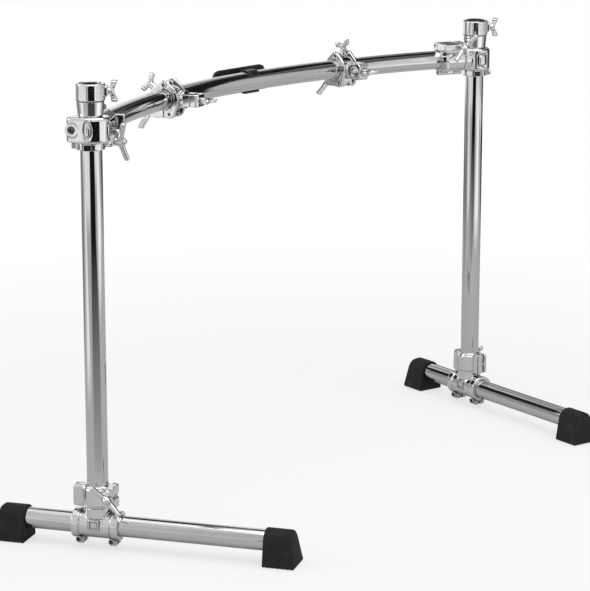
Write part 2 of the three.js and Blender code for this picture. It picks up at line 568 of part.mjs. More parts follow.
function multiBody() {
  const boss = turnedTo(ratchetFrame, turned([[0, ratchet.bossInner], [ratchet.radius, ratchet.bossInner],
    [ratchet.radius, ratchet.bossOut - ratchet.edgeRound], [ratchet.radius - ratchet.edgeRound, ratchet.bossOut],
    [0, ratchet.bossOut]]));
  const bore = rod(barBore, [-multi.halfLength - overrun, 0, 0], [multi.halfLength + overrun, 0, 0], castSides);
  return cut(join(turnedTo(multiSocket, clampBody(multiClamp)), boss), bore);
}

function multiJaw(place) {
  const boss = rod(thumb.bossRadius, [place.screwX, thumb.bossInner, 0], [place.screwX, thumb.bossEnd, 0]);
  const hole = rod(topWing.shankRadius + pinGap, [place.screwX, 0, 0], [place.screwX, thumb.bossEnd + overrun, 0]);
  const lean = new THREE.Matrix4().makeRotationX(place.screwAngle);
  const jaw = turnedTo(multiSocket, clampJaw(multiClamp));
  return cut(join(jaw, turnedTo(lean, boss)), turnedTo(lean, hole));
}

// Tube clamp of a multi-clamp: its own Z runs out along the ratchet axis, its tube along Y
function armBore() {
  const reach = arm.halfHeight + overrun;
  return rod(arm.tubeBore, [0, -reach, arm.boreAt], [0, reach, arm.boreAt], castSides);
}

function armBody() {
  const disc = turned(roundedProfile(ratchet.radius, 0, ratchet.discThick, ratchet.edgeRound));
  const saddle = plate(softBox(-arm.halfWidth, arm.halfWidth, arm.neckStart, arm.boreAt - faceGap / 2,
    arm.edgeRound), -arm.halfHeight, arm.halfHeight);
  const upright = frameOf(xDir, zDir, yDir.clone().negate(), new THREE.Vector3());
  return cut(join(disc, turnedTo(upright, saddle)), armBore());
}

function armCap() {
  const shape = softBox(-arm.halfWidth, arm.halfWidth, arm.boreAt + faceGap / 2, arm.capEnd, arm.round);
  const upright = frameOf(xDir, zDir, yDir.clone().negate(), new THREE.Vector3());
  const shell = turnedTo(upright, plate(shape, -arm.halfHeight, arm.halfHeight));
  const boss = rod(arm.bossRadius, [0, 0, arm.capEnd - arm.round], [0, 0, arm.bossEnd]);
  const hole = rod(topWing.shankRadius + pinGap, [0, 0, arm.boreAt], [0, 0, arm.bossEnd + overrun]);
  return cut(join(shell, boss), armBore(), hole);
}

// Assembly
const frame = new THREE.Group();

function place(parent, mesh, matrix = new THREE.Matrix4()) {
  mesh.applyMatrix4(matrix);
  parent.add(mesh);
}

function groupAt(parent, matrix) {
  const group = new THREE.Group();
  group.applyMatrix4(matrix);
  parent.add(group);
  return group;
}

// Puts the four pieces of a hinged clamp's fastening into a group that holds the clamp's own frame
function addFastening(group, socket, spec, prefix, nutTurn) {
  const pivot = socket.clone().multiply(
    new THREE.Matrix4().makeTranslation(bolt.pivotBack, -clamp.boltAt, spec.boltZ));
  place(group, meshOf(`${prefix}_swing_bolt`, swingBolt(spec), chromeBolt), pivot);
  const seat = socket.clone().multiply(frameOf(zDir, yDir, xDir.clone().negate(),
    new THREE.Vector3(-spec.lugFace - faceGap, -clamp.boltAt, spec.boltZ)));
  seat.multiply(new THREE.Matrix4().makeRotationZ(nutTurn));
  place(group, meshOf(`${prefix}_wing_nut`, wingNut(), chromeCast), seat);
}

frame.add(meshOf('curved_bar', curvedBar(), chromeTube));
const badgeSeat = barFrame(badge.station);
place(frame, meshOf('badge_plate', badgePlate(), blackPlastic),
  frameOf(badgeSeat.along, badgeSeat.outward, zDir, badgeSeat.point));

function addSide(side) {
  const left = side === 'left';
  const centre = new THREE.Vector3(left ? 0 : uprightSpacing, 0, 0);
  const toeIn = left ? toeInLeft : toeInRight;
  const forward = new THREE.Vector3(Math.sin(toeIn), -Math.cos(toeIn), 0);
  const across = zDir.clone().cross(forward);

  // Foot: base tube, rubber feet and foot clamp
  const base = groupAt(frame, frameOf(forward, across, zDir, centre.clone().setZ(baseHeight)));
  const seatDepth = footBoreDepth - faceGap;
  const front = frontReach[side];
  const rear = rearReach[side];
  const tubeLength = front + rear + seatDepth * 2;
  place(base, meshOf(`${side}_base_tube`, straightTube(tubeLength), chromeTube),
    frameOf(yDir, zDir, xDir, new THREE.Vector3(-rear - seatDepth, 0, 0)));
  place(base, meshOf(`${side}_foot_front`, rubberFoot(), blackRubber),
    new THREE.Matrix4().makeTranslation(front, 0, 0));
  place(base, meshOf(`${side}_foot_rear`, rubberFoot(), blackRubber),
    new THREE.Matrix4().makeRotationZ(Math.PI).setPosition(-rear, 0, 0));
  const turn = left ? 0 : Math.PI;
  place(base, meshOf(`${side}_t_clamp_body`, footBody(turn), chromeCast));
  const footSocket = new THREE.Matrix4().makeRotationZ(turn).multiply(
    frameOf(yDir, xDir.clone().negate(), zDir, new THREE.Vector3(0, 0, footMiddle)));
  place(base, meshOf(`${side}_t_clamp_jaw`, clampJaw(footClamp), chromeCast), footSocket);
  addFastening(base, footSocket, footClamp, `${side}_t_clamp`, foot.nutTurn);
  for (const [end, x] of [['front', foot.pinchX], ['rear', -foot.pinchX]]) {
    const seat = frameOf(xDir, zDir, yDir.clone().negate(),
      new THREE.Vector3(x, -foot.pinchHalf - faceGap, foot.pinchZ));
    place(base, meshOf(`${side}_pinch_screw_${end}`,
      socketScrew(pinchScrew, foot.pinchHalf * 2 - pinchScrew.tail), chromeBolt), seat);
  }

  // Upright with its memory lock and top clamp
  const uprightLow = baseHeight + foot.uprightSeat + faceGap;
  const uprightTop = barHeight + uprightRise;
  place(frame, meshOf(`${side}_upright`, straightTube(uprightTop - uprightLow), chromeTube),
    new THREE.Matrix4().makeTranslation(centre.x, 0, uprightLow));
  const screwTurn = left ? topScrewTurn + Math.PI : topScrewTurn;
  const collarLow = left ? corner.collarLow : -corner.collarHigh;
  const lockGroup = groupAt(frame, new THREE.Matrix4().makeRotationZ(screwTurn)
    .setPosition(centre.x, 0, barHeight + collarLow - faceGap - lock.height));
  lockGroup.add(meshOf(`${side}_memory_lock`, memoryLock(), chromeCast));
  place(lockGroup, meshOf(`${side}_memory_lock_screw`,
    socketScrew(lockScrew, lock.lugEnd - tubeRadius), chromeBolt),
  frameOf(yDir, zDir, xDir, new THREE.Vector3(lock.lugEnd + faceGap, 0, lock.height / 2)));
  const collarHigh = left ? corner.collarHigh : -corner.collarLow;
  const topLow = barHeight + collarHigh + top.restGap;
  const topGroup = groupAt(frame, new THREE.Matrix4().makeRotationZ(topScrewTurn).setPosition(centre.x, 0, topLow));
  topGroup.add(meshOf(`${side}_top_clamp_body`, topClampBody(), chromeCast));
  place(topGroup, meshOf(`${side}_top_bushing`, topBushing(), blackPlastic),
    new THREE.Matrix4().makeTranslation(0, 0, uprightTop - topLow));
  const bossMiddle = (top.bossLow + top.bossHigh) / 2;
  place(topGroup, meshOf(`${side}_top_wing_screw`,
    wingScrew(topWing, tubeRadius + faceGap - top.bossEnd), chromeCast),
  frameOf(zDir, xDir.clone().cross(zDir), xDir, new THREE.Vector3(top.bossEnd + faceGap, 0, bossMiddle)));

  // Corner clamp; the right one is the same casting turned over
  const bar = barFrame(left ? socketMiddle : arcRadius * halfAngle * 2 - socketMiddle);
  const inward = bar.along.clone().multiplyScalar(left ? 1 : -1);
  const down = zDir.clone().multiplyScalar(left ? 1 : -1);
  const outward = down.clone().cross(inward);
  const cornerGroup = groupAt(frame, frameOf(inward, outward, down, centre.clone().setZ(barHeight)));
  cornerGroup.add(meshOf(`${side}_corner_body`, cornerBody(), chromeCast));
  place(cornerGroup, meshOf(`${side}_corner_jaw`, cornerJaw(), chromeCast), socketFrame);
  addFastening(cornerGroup, socketFrame, cornerClamp, `${side}_corner`, cornerNutTurn[side]);
  place(cornerGroup, meshOf(`${side}_collar_screw`,
    socketScrew(collarScrew, collarBoss.back - collarBoss.front - collarScrew.headLength - collarScrew.tail * 2),
    chromeBolt),
  frameOf(yDir, zDir.clone().negate(), xDir.clone().negate(),
    new THREE.Vector3(collarBoss.front + collarScrew.headLength - faceGap, collarBoss.y, collarBoss.z)));
}

function addMulti(side, spot) {
  const seat = barFrame(spot.station);
  const group = groupAt(frame, frameOf(seat.along, seat.outward, zDir, seat.point));
  group.add(meshOf(`${side}_multi_clamp_body`, multiBody(), chromeCast));
  group.add(meshOf(`${side}_multi_clamp_jaw`, multiJaw(spot), chromeCast));
  addFastening(group, multiSocket, multiClamp, `${side}_multi_clamp`, multi.nutTurn);
  const lean = new THREE.Matrix4().makeRotationX(spot.screwAngle).multiply(
    frameOf(zDir, xDir, yDir, new THREE.Vector3(spot.screwX, thumb.bossEnd + faceGap, 0)));
  place(group, meshOf(`${side}_multi_thumb_screw`,
    wingScrew(topWing, tubeRadius + curveGap - thumb.bossEnd), chromeCast), lean);
  const arms = groupAt(group, ratchetFrame.clone()
    .multiply(new THREE.Matrix4().makeTranslation(0, 0, ratchet.bossOut + faceGap))
    .multiply(new THREE.Matrix4().makeRotationZ(spot.turn)));
  arms.add(meshOf(`${side}_tube_clamp_body`, armBody(), chromeCast));
  arms.add(meshOf(`${side}_tube_clamp_cap`, armCap(), chromeCast));
  const armTip = arm.boreAt + arm.tubeBore - arm.bossEnd + overrun;
  place(arms, meshOf(`${side}_tube_clamp_screw`, wingScrew(topWing, armTip), chromeCast),
    new THREE.Matrix4().makeRotationZ(-spot.turn).setPosition(0, 0, arm.bossEnd + faceGap));
}

addSide('left');
addSide('right');
addMulti('left', multiLeft);
addMulti('right', multiRight);

const extent = new THREE.Box3().setFromObject(frame, true);
const middle = extent.getCenter(new THREE.Vector3());
frame.position.set(-middle.x, -middle.y, -extent.min.z);
const group = new THREE.Group();
group.add(frame);

export default group;
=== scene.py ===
# Drum rack frame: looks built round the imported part, worked out in millimetres and placed in metres
import json
import math
import bpy
import numpy as np
from mathutils import Matrix, Vector


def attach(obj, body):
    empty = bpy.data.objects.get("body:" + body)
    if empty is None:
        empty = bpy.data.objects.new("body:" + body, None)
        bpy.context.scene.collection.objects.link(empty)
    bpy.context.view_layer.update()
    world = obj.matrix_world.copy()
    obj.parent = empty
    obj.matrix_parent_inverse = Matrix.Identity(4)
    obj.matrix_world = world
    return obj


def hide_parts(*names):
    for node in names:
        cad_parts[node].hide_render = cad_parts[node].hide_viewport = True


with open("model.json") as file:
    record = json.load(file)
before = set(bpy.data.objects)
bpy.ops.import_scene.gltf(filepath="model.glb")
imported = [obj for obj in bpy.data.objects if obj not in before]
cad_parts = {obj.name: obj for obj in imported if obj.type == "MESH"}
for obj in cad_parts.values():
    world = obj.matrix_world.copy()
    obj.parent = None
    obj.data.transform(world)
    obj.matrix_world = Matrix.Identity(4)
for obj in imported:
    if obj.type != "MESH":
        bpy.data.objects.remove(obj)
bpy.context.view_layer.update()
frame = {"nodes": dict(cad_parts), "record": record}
print("frame loaded,", len(frame["nodes"]), "nodes")

behaviour = frame["record"]["behaviour"]
bodyOfNode = {node: body for body, nodes in behaviour["bodies"].items() for node in nodes}
scene = bpy.context.scene
scene.view_settings.view_transform = "Standard"

# where things stand, in millimetres and degrees; shift takes the left upright's foot to its place in the frame
layout = {
    "spacing": 1189.5, "bow": 155.9, "barHeight": 753.0, "baseHeight": 42.0, "uprightRise": 69.0,
    "toeIn": {"left": 21.15, "right": -17.2}, "shift": (-588.807172, 88.363248, 0.0),
    "frontReach": {"left": 313.0, "right": 318.0}, "rearReach": 133.0, "screwTurn": -52.3,
    "tubeRadius": 19.05, "tubeWall": 1.6, "boreGap": 0.45, "curveGap": 0.8, "seatGap": 0.3, "screwGap": 0.35,
}
tubeRadius, seatGap, screwGap = layout["tubeRadius"], layout["seatGap"], layout["screwGap"]
uprightBore = tubeRadius + layout["boreGap"]
barBore = tubeRadius + layout["curveGap"]
arcRadius = ((layout["spacing"] / 2) ** 2 + layout["bow"] ** 2) / (2 * layout["bow"])
halfAngle = math.asin(layout["spacing"] / 2 / arcRadius)
xDir, yDir, zDir = np.eye(3)


# a frame as a 4 x 4 matrix: three directions and an origin
def frameOf(xAxis, yAxis, zAxis, origin=(0, 0, 0)):
    made = np.eye(4)
    made[:3, 0], made[:3, 1], made[:3, 2], made[:3, 3] = xAxis, yAxis, zAxis, origin
    return made


# a turn by an angle in radians about one of the three axes
def turnAbout(axis, angle):
    return np.array(Matrix.Rotation(angle, 4, axis))


# a shift along the three axes
def moved(x, y, z):
    made = np.eye(4)
    made[:3, 3] = x, y, z
    return made


# the bar at a station along its arc: the directions along and outward, and the point on its axis
def barFrame(station):
    angle = station / arcRadius - halfAngle
    along = np.array((math.cos(angle), -math.sin(angle), 0))
    outward = np.array((math.sin(angle), math.cos(angle), 0))
    centre = np.array((layout["spacing"] / 2, layout["bow"] - arcRadius, layout["barHeight"]))
    return along, outward, centre + outward * arcRadius


# solids as distance fields: the lesser of two distances, and where they differ by less than the radius, less
# a quarter of the overlap squared over the radius, which leaves a fillet as on a casting
def blend(first, second, radius):
    near = np.maximum(radius - np.abs(first - second), 0) / radius
    return np.minimum(first, second) - near * near * radius * 0.25


# what is left of a body outside a tool: the greater of the body's distance and the tool's, turned over
def carve(body, tool, radius=0.8):
    return -blend(-body, tool, radius)


# what two forms have in common: the greater of their distances
def common(first, second, radius=0.8):
    return -blend(-first, -second, radius)


# several forms blended one after another
def joined(radius, *forms):
    whole = forms[0]
    for form in forms[1:]:
        whole = blend(whole, form, radius)
    return whole


# a form with straight sides: the distance across and the distance past its ends, met round a soft edge
def cutOff(across, c, low, high, soft):
    along = np.abs(c - (low + high) / 2) - ((high - low) / 2 - soft)
    return np.minimum(np.maximum(across, along), 0) + np.hypot(np.maximum(across, 0), np.maximum(along, 0)) - soft


# round bar: a and b lie across it, c along it
def rodField(a, b, c, radius, low, high, soft=0.6):
    return cutOff(np.hypot(a, b) - (radius - soft), c, low, high, soft)


# box: outside, the distance to its nearest corner, edge or face; inside, to its nearest face
def boxField(x, y, z, low, high, soft=0.8):
    gaps = [np.abs(v - (l + h) / 2) - ((h - l) / 2 - soft) for v, l, h in zip((x, y, z), low, high)]
    out = [np.maximum(g, 0) for g in gaps]
    inside = np.minimum(np.maximum(np.maximum(gaps[0], gaps[1]), gaps[2]), 0)
    return inside + np.sqrt(out[0] ** 2 + out[1] ** 2 + out[2] ** 2) - soft


# an outline moved inwards by an amount, each corner along its mitre
def insetOutline(points, amount):
    points = np.array(points, float)
    ahead = np.roll(points, -1, 0) - points
    ahead /= np.linalg.norm(ahead, axis=1)[:, None]
    area = np.sum(points[:, 0] * np.roll(points[:, 1], -1) - np.roll(points[:, 0], -1) * points[:, 1])
    normal = np.stack((-ahead[:, 1], ahead[:, 0]), 1) * np.sign(area)
    before = np.roll(normal, 1, 0)
    mitre = (normal + before) / (1 + np.sum(normal * before, 1))[:, None]
    return points + mitre * amount


# distance to a closed outline, below zero inside: nearest edge, sign by counting crossings
def outlineField(u, v, points):
    nearest = np.full(np.broadcast(u, v).shape, np.inf, u.dtype)
    sign = np.ones_like(nearest)
    for (x0, y0), (x1, y1) in zip(points, np.roll(points, -1, 0)):
        ex, ey = x1 - x0, y1 - y0
        wu, wv = u - x0, v - y0
        share = np.clip((wu * ex + wv * ey) / (ex * ex + ey * ey), 0, 1)
        nearest = np.minimum(nearest, (wu - ex * share) ** 2 + (wv - ey * share) ** 2)
        above, below, leftOf = v >= y0, v < y1, ex * wv > ey * wu
        sign = np.where((above & below & leftOf) | ~(above | below | leftOf), -sign, sign)
    return sign * np.sqrt(nearest)


# a plate over an outline: its edges rounded by soft, its corners in plan by corner
def plateField(u, v, w, points, low, high, soft=1.0, corner=0.0):
    corner = max(corner, soft)
    return cutOff(outlineField(u, v, insetOutline(points, corner)) - (corner - soft), w, low, high, soft)


# a turned form: its half section's outline, which starts past the axis, round c
def turnedField(a, b, c, points, soft=1.0):
    return outlineField(np.hypot(a, b), c, insetOutline(points, soft)) - soft


# the tightest band round several circles: in each direction, the point of the circle that reaches furthest
def hullOutline(circles, count=44):
    angle = np.linspace(0, 2 * math.pi, count, endpoint=False)
    out = np.stack((np.cos(angle), np.sin(angle)), 1)
    circles = np.array(circles, float)
    far = np.argmax(out @ circles[:, :2].T + circles[:, 2], 1)
    return circles[far, :2] + circles[far, 2:] * out


skinLook = {"nudge": 0.04, "passes": 4, "leastSlope": 0.2, "longestPush": 0.4, "shelterAt": (1.6, 4.5)}


# the skin of a field: one vertex in each cell that the surface crosses, at the mean of its edge
# crossings, quads round each crossed edge, then each vertex moved onto the surface along the slope
def skin(field, low, high, step):
    axes = [np.arange(l - 2 * step, h + 3 * step, step, dtype=np.float32) for l, h in zip(low, high)]
    value = field(*np.meshgrid(*axes, indexing="ij"))
    size = value.shape
    corner = {(i, j, k): value[i:size[0] - 1 + i, j:size[1] - 1 + j, k:size[2] - 1 + k]
              for i in (0, 1) for j in (0, 1) for k in (0, 1)}
    filled = sum((v < 0).astype(np.int8) for v in corner.values())
    cells = np.nonzero((filled > 0) & (filled < 8))
    here = {key: v[cells].astype(float) for key, v in corner.items()}
    total, count = np.zeros((len(cells[0]), 3)), np.zeros(len(cells[0]))
    for start in here:
        for axis in range(3):
            if start[axis]:
                continue
            end = tuple(1 if a == axis else s for a, s in enumerate(start))
            crossed = (here[start] < 0) != (here[end] < 0)
            share = np.where(crossed, here[start] / np.where(crossed, here[start] - here[end], 1), 0)
            point = np.array(start, float)[None] + share[:, None] * np.eye(3)[axis][None]
            total += np.where(crossed[:, None], point, 0)
            count += crossed
    origin = np.array([a[0] for a in axes])
    verts = origin + (np.stack(cells, 1) + total / count[:, None]) * step
    index = np.full(filled.shape, -1)
    index[cells] = np.arange(len(verts))
    quads = []
    for axis in range(3):
        first, second = [a for a in range(3) if a != axis]
        inner = [slice(1, -1)] * 3
        inner[axis] = slice(0, -1)
        ahead = list(inner)
        ahead[axis] = slice(1, None)
        here, there = value[tuple(inner)] < 0, value[tuple(ahead)] < 0
        for sense in (True, False):
            edges = np.stack(np.nonzero((here != there) & (here == sense)), 1)
            edges[:, first] += 1
            edges[:, second] += 1
            ring = []
            for i, j in ((0, 0), (1, 0), (1, 1), (0, 1)):
                cell = edges.copy()
                cell[:, first] -= i
                cell[:, second] -= j
                ring.append(index[tuple(cell.T)])
            ring = np.stack(ring, 1)
            quads.append(ring if sense == (axis != 1) else ring[:, ::-1])
    quads = np.concatenate(quads)
    nudge, push = skinLook["nudge"], skinLook["longestPush"] * step
    for lap in range(skinLook["passes"]):
        x, y, z = verts.T
        slope = np.stack([(field(x + d[0], y + d[1], z + d[2]) - field(x - d[0], y - d[1], z - d[2])) / (2 * nudge)
                          for d in np.eye(3) * nudge], 1)
        steep = np.maximum(np.sum(slope ** 2, 1), skinLook["leastSlope"])
        verts = verts - np.clip((field(x, y, z) / steep)[:, None] * slope, -push, push)
    return verts, quads, np.zeros((0, 3), int), sheltered(field, verts, slope / np.sqrt(steep)[:, None])


# how tucked away each point is: over a flat or rounded face the distance grows as fast as one moves off, in a crease
# it grows more slowly; the platings darken each point by this as painted shade
def sheltered(field, verts, normal):
    return sum(np.clip(1 - field(*(verts + normal * away).T) / away, 0, 1)
               for away in skinLook["shelterAt"]) / len(skinLook["shelterAt"])


# surfaces on a grid: rows of points, each row a closed ring, the rows open with caps or closed
def ringSurface(points, closed=False):
    rows, sides = points.shape[:2]
    index = np.arange(rows * sides).reshape(rows, sides)
    lower = index if closed else index[:-1]
    upper = np.roll(index, -1, 0) if closed else index[1:]
    quads = np.stack((lower, np.roll(lower, -1, 1), np.roll(upper, -1, 1), upper), 2).reshape(-1, 4)
    verts = points.reshape(-1, 3)
    tris = np.zeros((0, 3), int)
    if not closed:
        ends = np.array((points[0].mean(0), points[-1].mean(0)))
        first, last = index[0], index[-1]
        low = np.stack((np.full(sides, len(verts)), np.roll(first, -1), first), 1)
        high = np.stack((np.full(sides, len(verts) + 1), last, np.roll(last, -1)), 1)
        verts, tris = np.concatenate((verts, ends)), np.concatenate((low, high))
    return verts, quads, tris, np.zeros(len(verts))


# several surfaces as one
def together(*parts):
    start, verts, quads, tris, shelter = 0, [], [], [], []
    for v, q, t, s in parts:
        verts.append(v)
        quads.append(q + start)
        tris.append(t + start)
        shelter.append(s)
        start += len(v)
    return tuple(np.concatenate(rows) for rows in (verts, quads, tris, shelter))


# a turned form about Z: radius and height at each row, the same all the way round
def turnedSurface(profile, sides=48, closed=False):
    profile = np.array(profile, float)
    angle = np.linspace(0, 2 * math.pi, sides, endpoint=False)
    ring = np.stack((np.cos(angle), np.sin(angle)), 1)
    points = np.concatenate((profile[:, None, :1] * ring[None], np.repeat(profile[:, None, 1:], sides, 1)), 2)
    return ringSurface(points, closed)


# a part whose points are taken through a frame; its faces and its shelter stay as they are
def applied(matrix, part):
    return part[0] @ matrix[:3, :3].T + matrix[:3, 3], *part[1:]


# fills a node's sockets: another node's socket is linked, a number or colour is set on the socket itself
def fillSockets(tree, node, sockets):
    for socket, value in sockets.items():
        if isinstance(value, bpy.types.NodeSocket):
            tree.links.new(value, node.inputs[socket])
        else:
            node.inputs[socket].default_value = value


# a new shader node with its settings made and its sockets filled
def addNode(tree, kind, sockets, **settings):
    node = tree.nodes.new("ShaderNode" + kind)
    for name, value in settings.items():
        setattr(node, name, value)
    fillSockets(tree, node, sockets)
    return node


# a material with its shader, its node tree and the object's own coordinates, which its patterns are laid in
def newFinish(name):
    material = bpy.data.materials.new(name)
    material.use_nodes = True
    tree = material.node_tree
    tree.nodes.clear()
    shader = addNode(tree, "BsdfPrincipled", {})
    addNode(tree, "OutputMaterial", {0: shader.outputs[0]})
    return material, tree, shader, tree.nodes.new("ShaderNodeTexCoord").outputs["Object"]


# noise laid in the object's own coordinates, drawn out along an axis if asked
def speckle(tree, place, scale, detail=4, stretch=(1, 1, 1)):
    mapping = addNode(tree, "Mapping", {"Vector": place, "Scale": stretch})
    return addNode(tree, "TexNoise", {"Vector": mapping.outputs[0], "Scale": scale, "Detail": detail}).outputs["Fac"]


# a value taken from the span low to high over to the span start to end, and held at both
def ramped(tree, source, low, high, start, end):
    return addNode(tree, "MapRange", {"Value": source, "From Min": low, "From Max": high,
                                      "To Min": start, "To Max": end}).outputs[0]


# one operation on numbers or sockets, held between 0 and 1 if asked
def reckoned(tree, operation, *values, clamp=False):
    return addNode(tree, "Math", dict(enumerate(values)), operation=operation, use_clamp=clamp).outputs[0]


# a colour on the way from the first to the second by the share
def mixedColour(tree, share, first, second):
    return addNode(tree, "Mix", {"Factor": share, "A": first, "B": (*second, 1)}, data_type="RGBA").outputs["Result"]


# a normal tilted by the slope of a height
def bumped(tree, height, distance):
    return addNode(tree, "Bump", {"Height": height, "Distance": distance, "Strength": 1.0}).outputs[0]


# the spans of noise, and of shelter in the creases, over which each mark comes in
markSpans = {"smudge": (0.42, 0.72), "crease": (0.06, 0.5), "dust": (0.5, 0.8), "patch": (0.3, 0.7)}


# plated metal: a clear reflection, faint hand smudges and hairline polishing marks, slight waves on castings, and
# painted shade in the creases, which also stands for grime there
def platedFinish(name, look):
    material, tree, shader, place = newFinish(name)
    smudge = ramped(tree, speckle(tree, place, look["smudgeScale"], 5), *markSpans["smudge"], 0, 1)
    hairline = speckle(tree, place, look["hairScale"], 2, look["hairStretch"])
    tint = mixedColour(tree, smudge, (*look["colour"], 1), look["smudgeColour"])
    crease = addNode(tree, "Attribute", {}, attribute_name="shelter").outputs["Fac"]
    # painted shade: the colour goes towards near black as the shelter attribute rises, in creases and recesses
    paintedShadeAndGrime = ramped(tree, crease, *markSpans["crease"], 0, look["paintedShadeAndGrimeAmount"])
    rough = ramped(tree, smudge, 0, 1, look["roughness"], look["smudgeRoughness"])
    fillSockets(tree, shader, {
        "Metallic": 1.0, "Base Color": mixedColour(tree, paintedShadeAndGrime, tint, look["paintedShadeAndGrimeColour"]),
        "Roughness": reckoned(tree, "MULTIPLY_ADD", hairline, look["hairRoughness"], rough),
        "Normal": bumped(tree, speckle(tree, place, look["waveScale"], 1), look["waveDepth"])})
    return material


# moulded black: fine grain in the bump, a little dust that lightens it, wear low down if asked
def mouldedFinish(name, look):
    material, tree, shader, place = newFinish(name)
    dust = ramped(tree, speckle(tree, place, look["dustScale"], 6), *markSpans["dust"], 0, look["dustAmount"])
    if look.get("wearHeight"):
        height = addNode(tree, "SeparateXYZ", {0: place}).outputs["Z"]
        wear = ramped(tree, height, 0, look["wearHeight"], look["wearAmount"], 0)
        dust = reckoned(tree, "ADD", dust, wear, clamp=True)
    patches = ramped(tree, speckle(tree, place, look["dustScale"] * 2), *markSpans["patch"],
                     look["roughness"] - look["patchDepth"], look["roughness"] + look["patchDepth"])
    fillSockets(tree, shader, {
        "Base Color": mixedColour(tree, dust, (*look["colour"], 1), look["dustColour"]), "Roughness": patches,
        "Specular IOR Level": look["specular"],
        "Normal": bumped(tree, speckle(tree, place, look["grainScale"], 3), look["grainDepth"])})
    return material


finishes = {
    "chrome_tube": platedFinish("polishedTubePlating", {
        "colour": (0.68, 0.687, 0.692), "smudgeColour": (0.65, 0.656, 0.66), "roughness": 0.03,
        "smudgeRoughness": 0.06, "smudgeScale": 9.0, "hairScale": 520.0, "hairStretch": (1, 1, 0.06),
        "hairRoughness": 0.02, "waveScale": 9.0, "waveDepth": 0.00001,
        "paintedShadeAndGrimeAmount": 0.0, "paintedShadeAndGrimeColour": (0.1, 0.1, 0.1)}),
    "chrome_casting": platedFinish("castingPlating", {
        "colour": (0.79, 0.796, 0.80), "smudgeColour": (0.74, 0.746, 0.75), "roughness": 0.04,
        "smudgeRoughness": 0.10, "smudgeScale": 22.0, "hairScale": 800.0, "hairStretch": (1, 1, 1),
        "hairRoughness": 0.02, "waveScale": 45.0, "waveDepth": 0.00003,
        "paintedShadeAndGrimeAmount": 0.95, "paintedShadeAndGrimeColour": (0.035, 0.036, 0.038)}),
    "steel_screws": platedFinish("screwPlating", {
        "colour": (0.60, 0.605, 0.61), "smudgeColour": (0.48, 0.485, 0.49), "roughness": 0.13,
        "smudgeRoughness": 0.22, "smudgeScale": 60.0, "hairScale": 1200.0, "hairStretch": (1, 1, 1),
        "hairRoughness": 0.05, "waveScale": 150.0, "waveDepth": 0.00003,
        "paintedShadeAndGrimeAmount": 0.9, "paintedShadeAndGrimeColour": (0.03, 0.03, 0.032)}),
    "black_rubber": mouldedFinish("footRubber", {
        "colour": (0.0165, 0.0168, 0.0175), "dustColour": (0.07, 0.07, 0.068), "dustAmount": 0.3, "dustScale": 38.0,
        "wearHeight": 0.008, "wearAmount": 0.16, "roughness": 0.74, "patchDepth": 0.06, "specular": 0.2,
        "grainScale": 1300.0, "grainDepth": 0.00022}),
    "black_plastic": mouldedFinish("mouldedPlastic", {
        "colour": (0.0125, 0.0125, 0.0135), "dustColour": (0.05, 0.05, 0.05), "dustAmount": 0.25, "dustScale": 30.0,
        "roughness": 0.3, "patchDepth": 0.06, "specular": 0.5, "grainScale": 900.0, "grainDepth": 0.00005}),
}
# what each name's ending is made of; every other piece is a plated casting
slotOfEnding = {
    "curved_bar": "chrome_tube", "base_tube": "chrome_tube", "upright": "chrome_tube",
    "foot_front": "black_rubber", "foot_rear": "black_rubber", "badge_plate": "black_plastic",
    "top_bushing": "black_plastic", "swing_bolt": "steel_screws", "pinch_screw_front": "steel_screws",
    "pinch_screw_rear": "steel_screws", "memory_lock_screw": "steel_screws", "collar_screw": "steel_screws",
}


# the slot that the ending of a node's name asks for
def slotOf(node):
    return next((slot for ending, slot in slotOfEnding.items() if node.endswith(ending)), "chrome_casting")


# puts a part worked out in millimetres into the world as the piece that stands for a node
def finishPiece(node, part, matrix=np.eye(4), sharp=None):
    verts, quads, tris, shelter = applied(matrix, part)
    verts = (verts + layout["shift"]) / 1000
    words = node.split("_")
    name = words[0] + "".join(w.capitalize() for w in words[1:])
    mesh = bpy.data.meshes.new(name)
    mesh.vertices.add(len(verts))
    mesh.vertices.foreach_set("co", verts.astype(np.float32).ravel())
    mesh.loops.add(quads.size + tris.size)
    mesh.loops.foreach_set("vertex_index", np.concatenate((quads.ravel(), tris.ravel())).astype(np.int32))
    mesh.polygons.add(len(quads) + len(tris))
    starts = np.concatenate((np.arange(len(quads)) * 4, quads.size + np.arange(len(tris)) * 3))
    mesh.polygons.foreach_set("loop_start", starts.astype(np.int32))
    mesh.update(calc_edges=True)
    mesh.validate()
    # the shelter of each point, which the platings turn into painted shade
    mesh.attributes.new("shelter", "FLOAT", "POINT").data.foreach_set("value", shelter.astype(np.float32))
    mesh.shade_smooth()
    if sharp:
        mesh.set_sharp_from_angle(angle=math.radians(sharp))
    piece = bpy.data.objects.new(name, mesh)
    scene.collection.objects.link(piece)
    slot = slotOf(node)
    mesh.materials.append(finishes[slot])
    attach(piece, bodyOfNode[node])
    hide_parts(node)


tubeSharp, boltSharp = 50, 60  # edges steeper than this, in degrees, stay sharp on turned pieces

# tubes: a wall's section carried round a straight or bent axis
tubeLook = {"sides": 72, "rimRound": 0.5, "straightStep": 60.0, "bentStep": 12.0, "barInset": 37.2}


# a quarter round of a profile: points about a middle from the start angle on, as (radius, distance along)
def quarterRound(radius, along, edge, start, count=4):
    turn = start + np.linspace(0, math.pi / 2, count)
    return np.stack((radius + edge * np.cos(turn), along + edge * np.sin(turn)), 1)


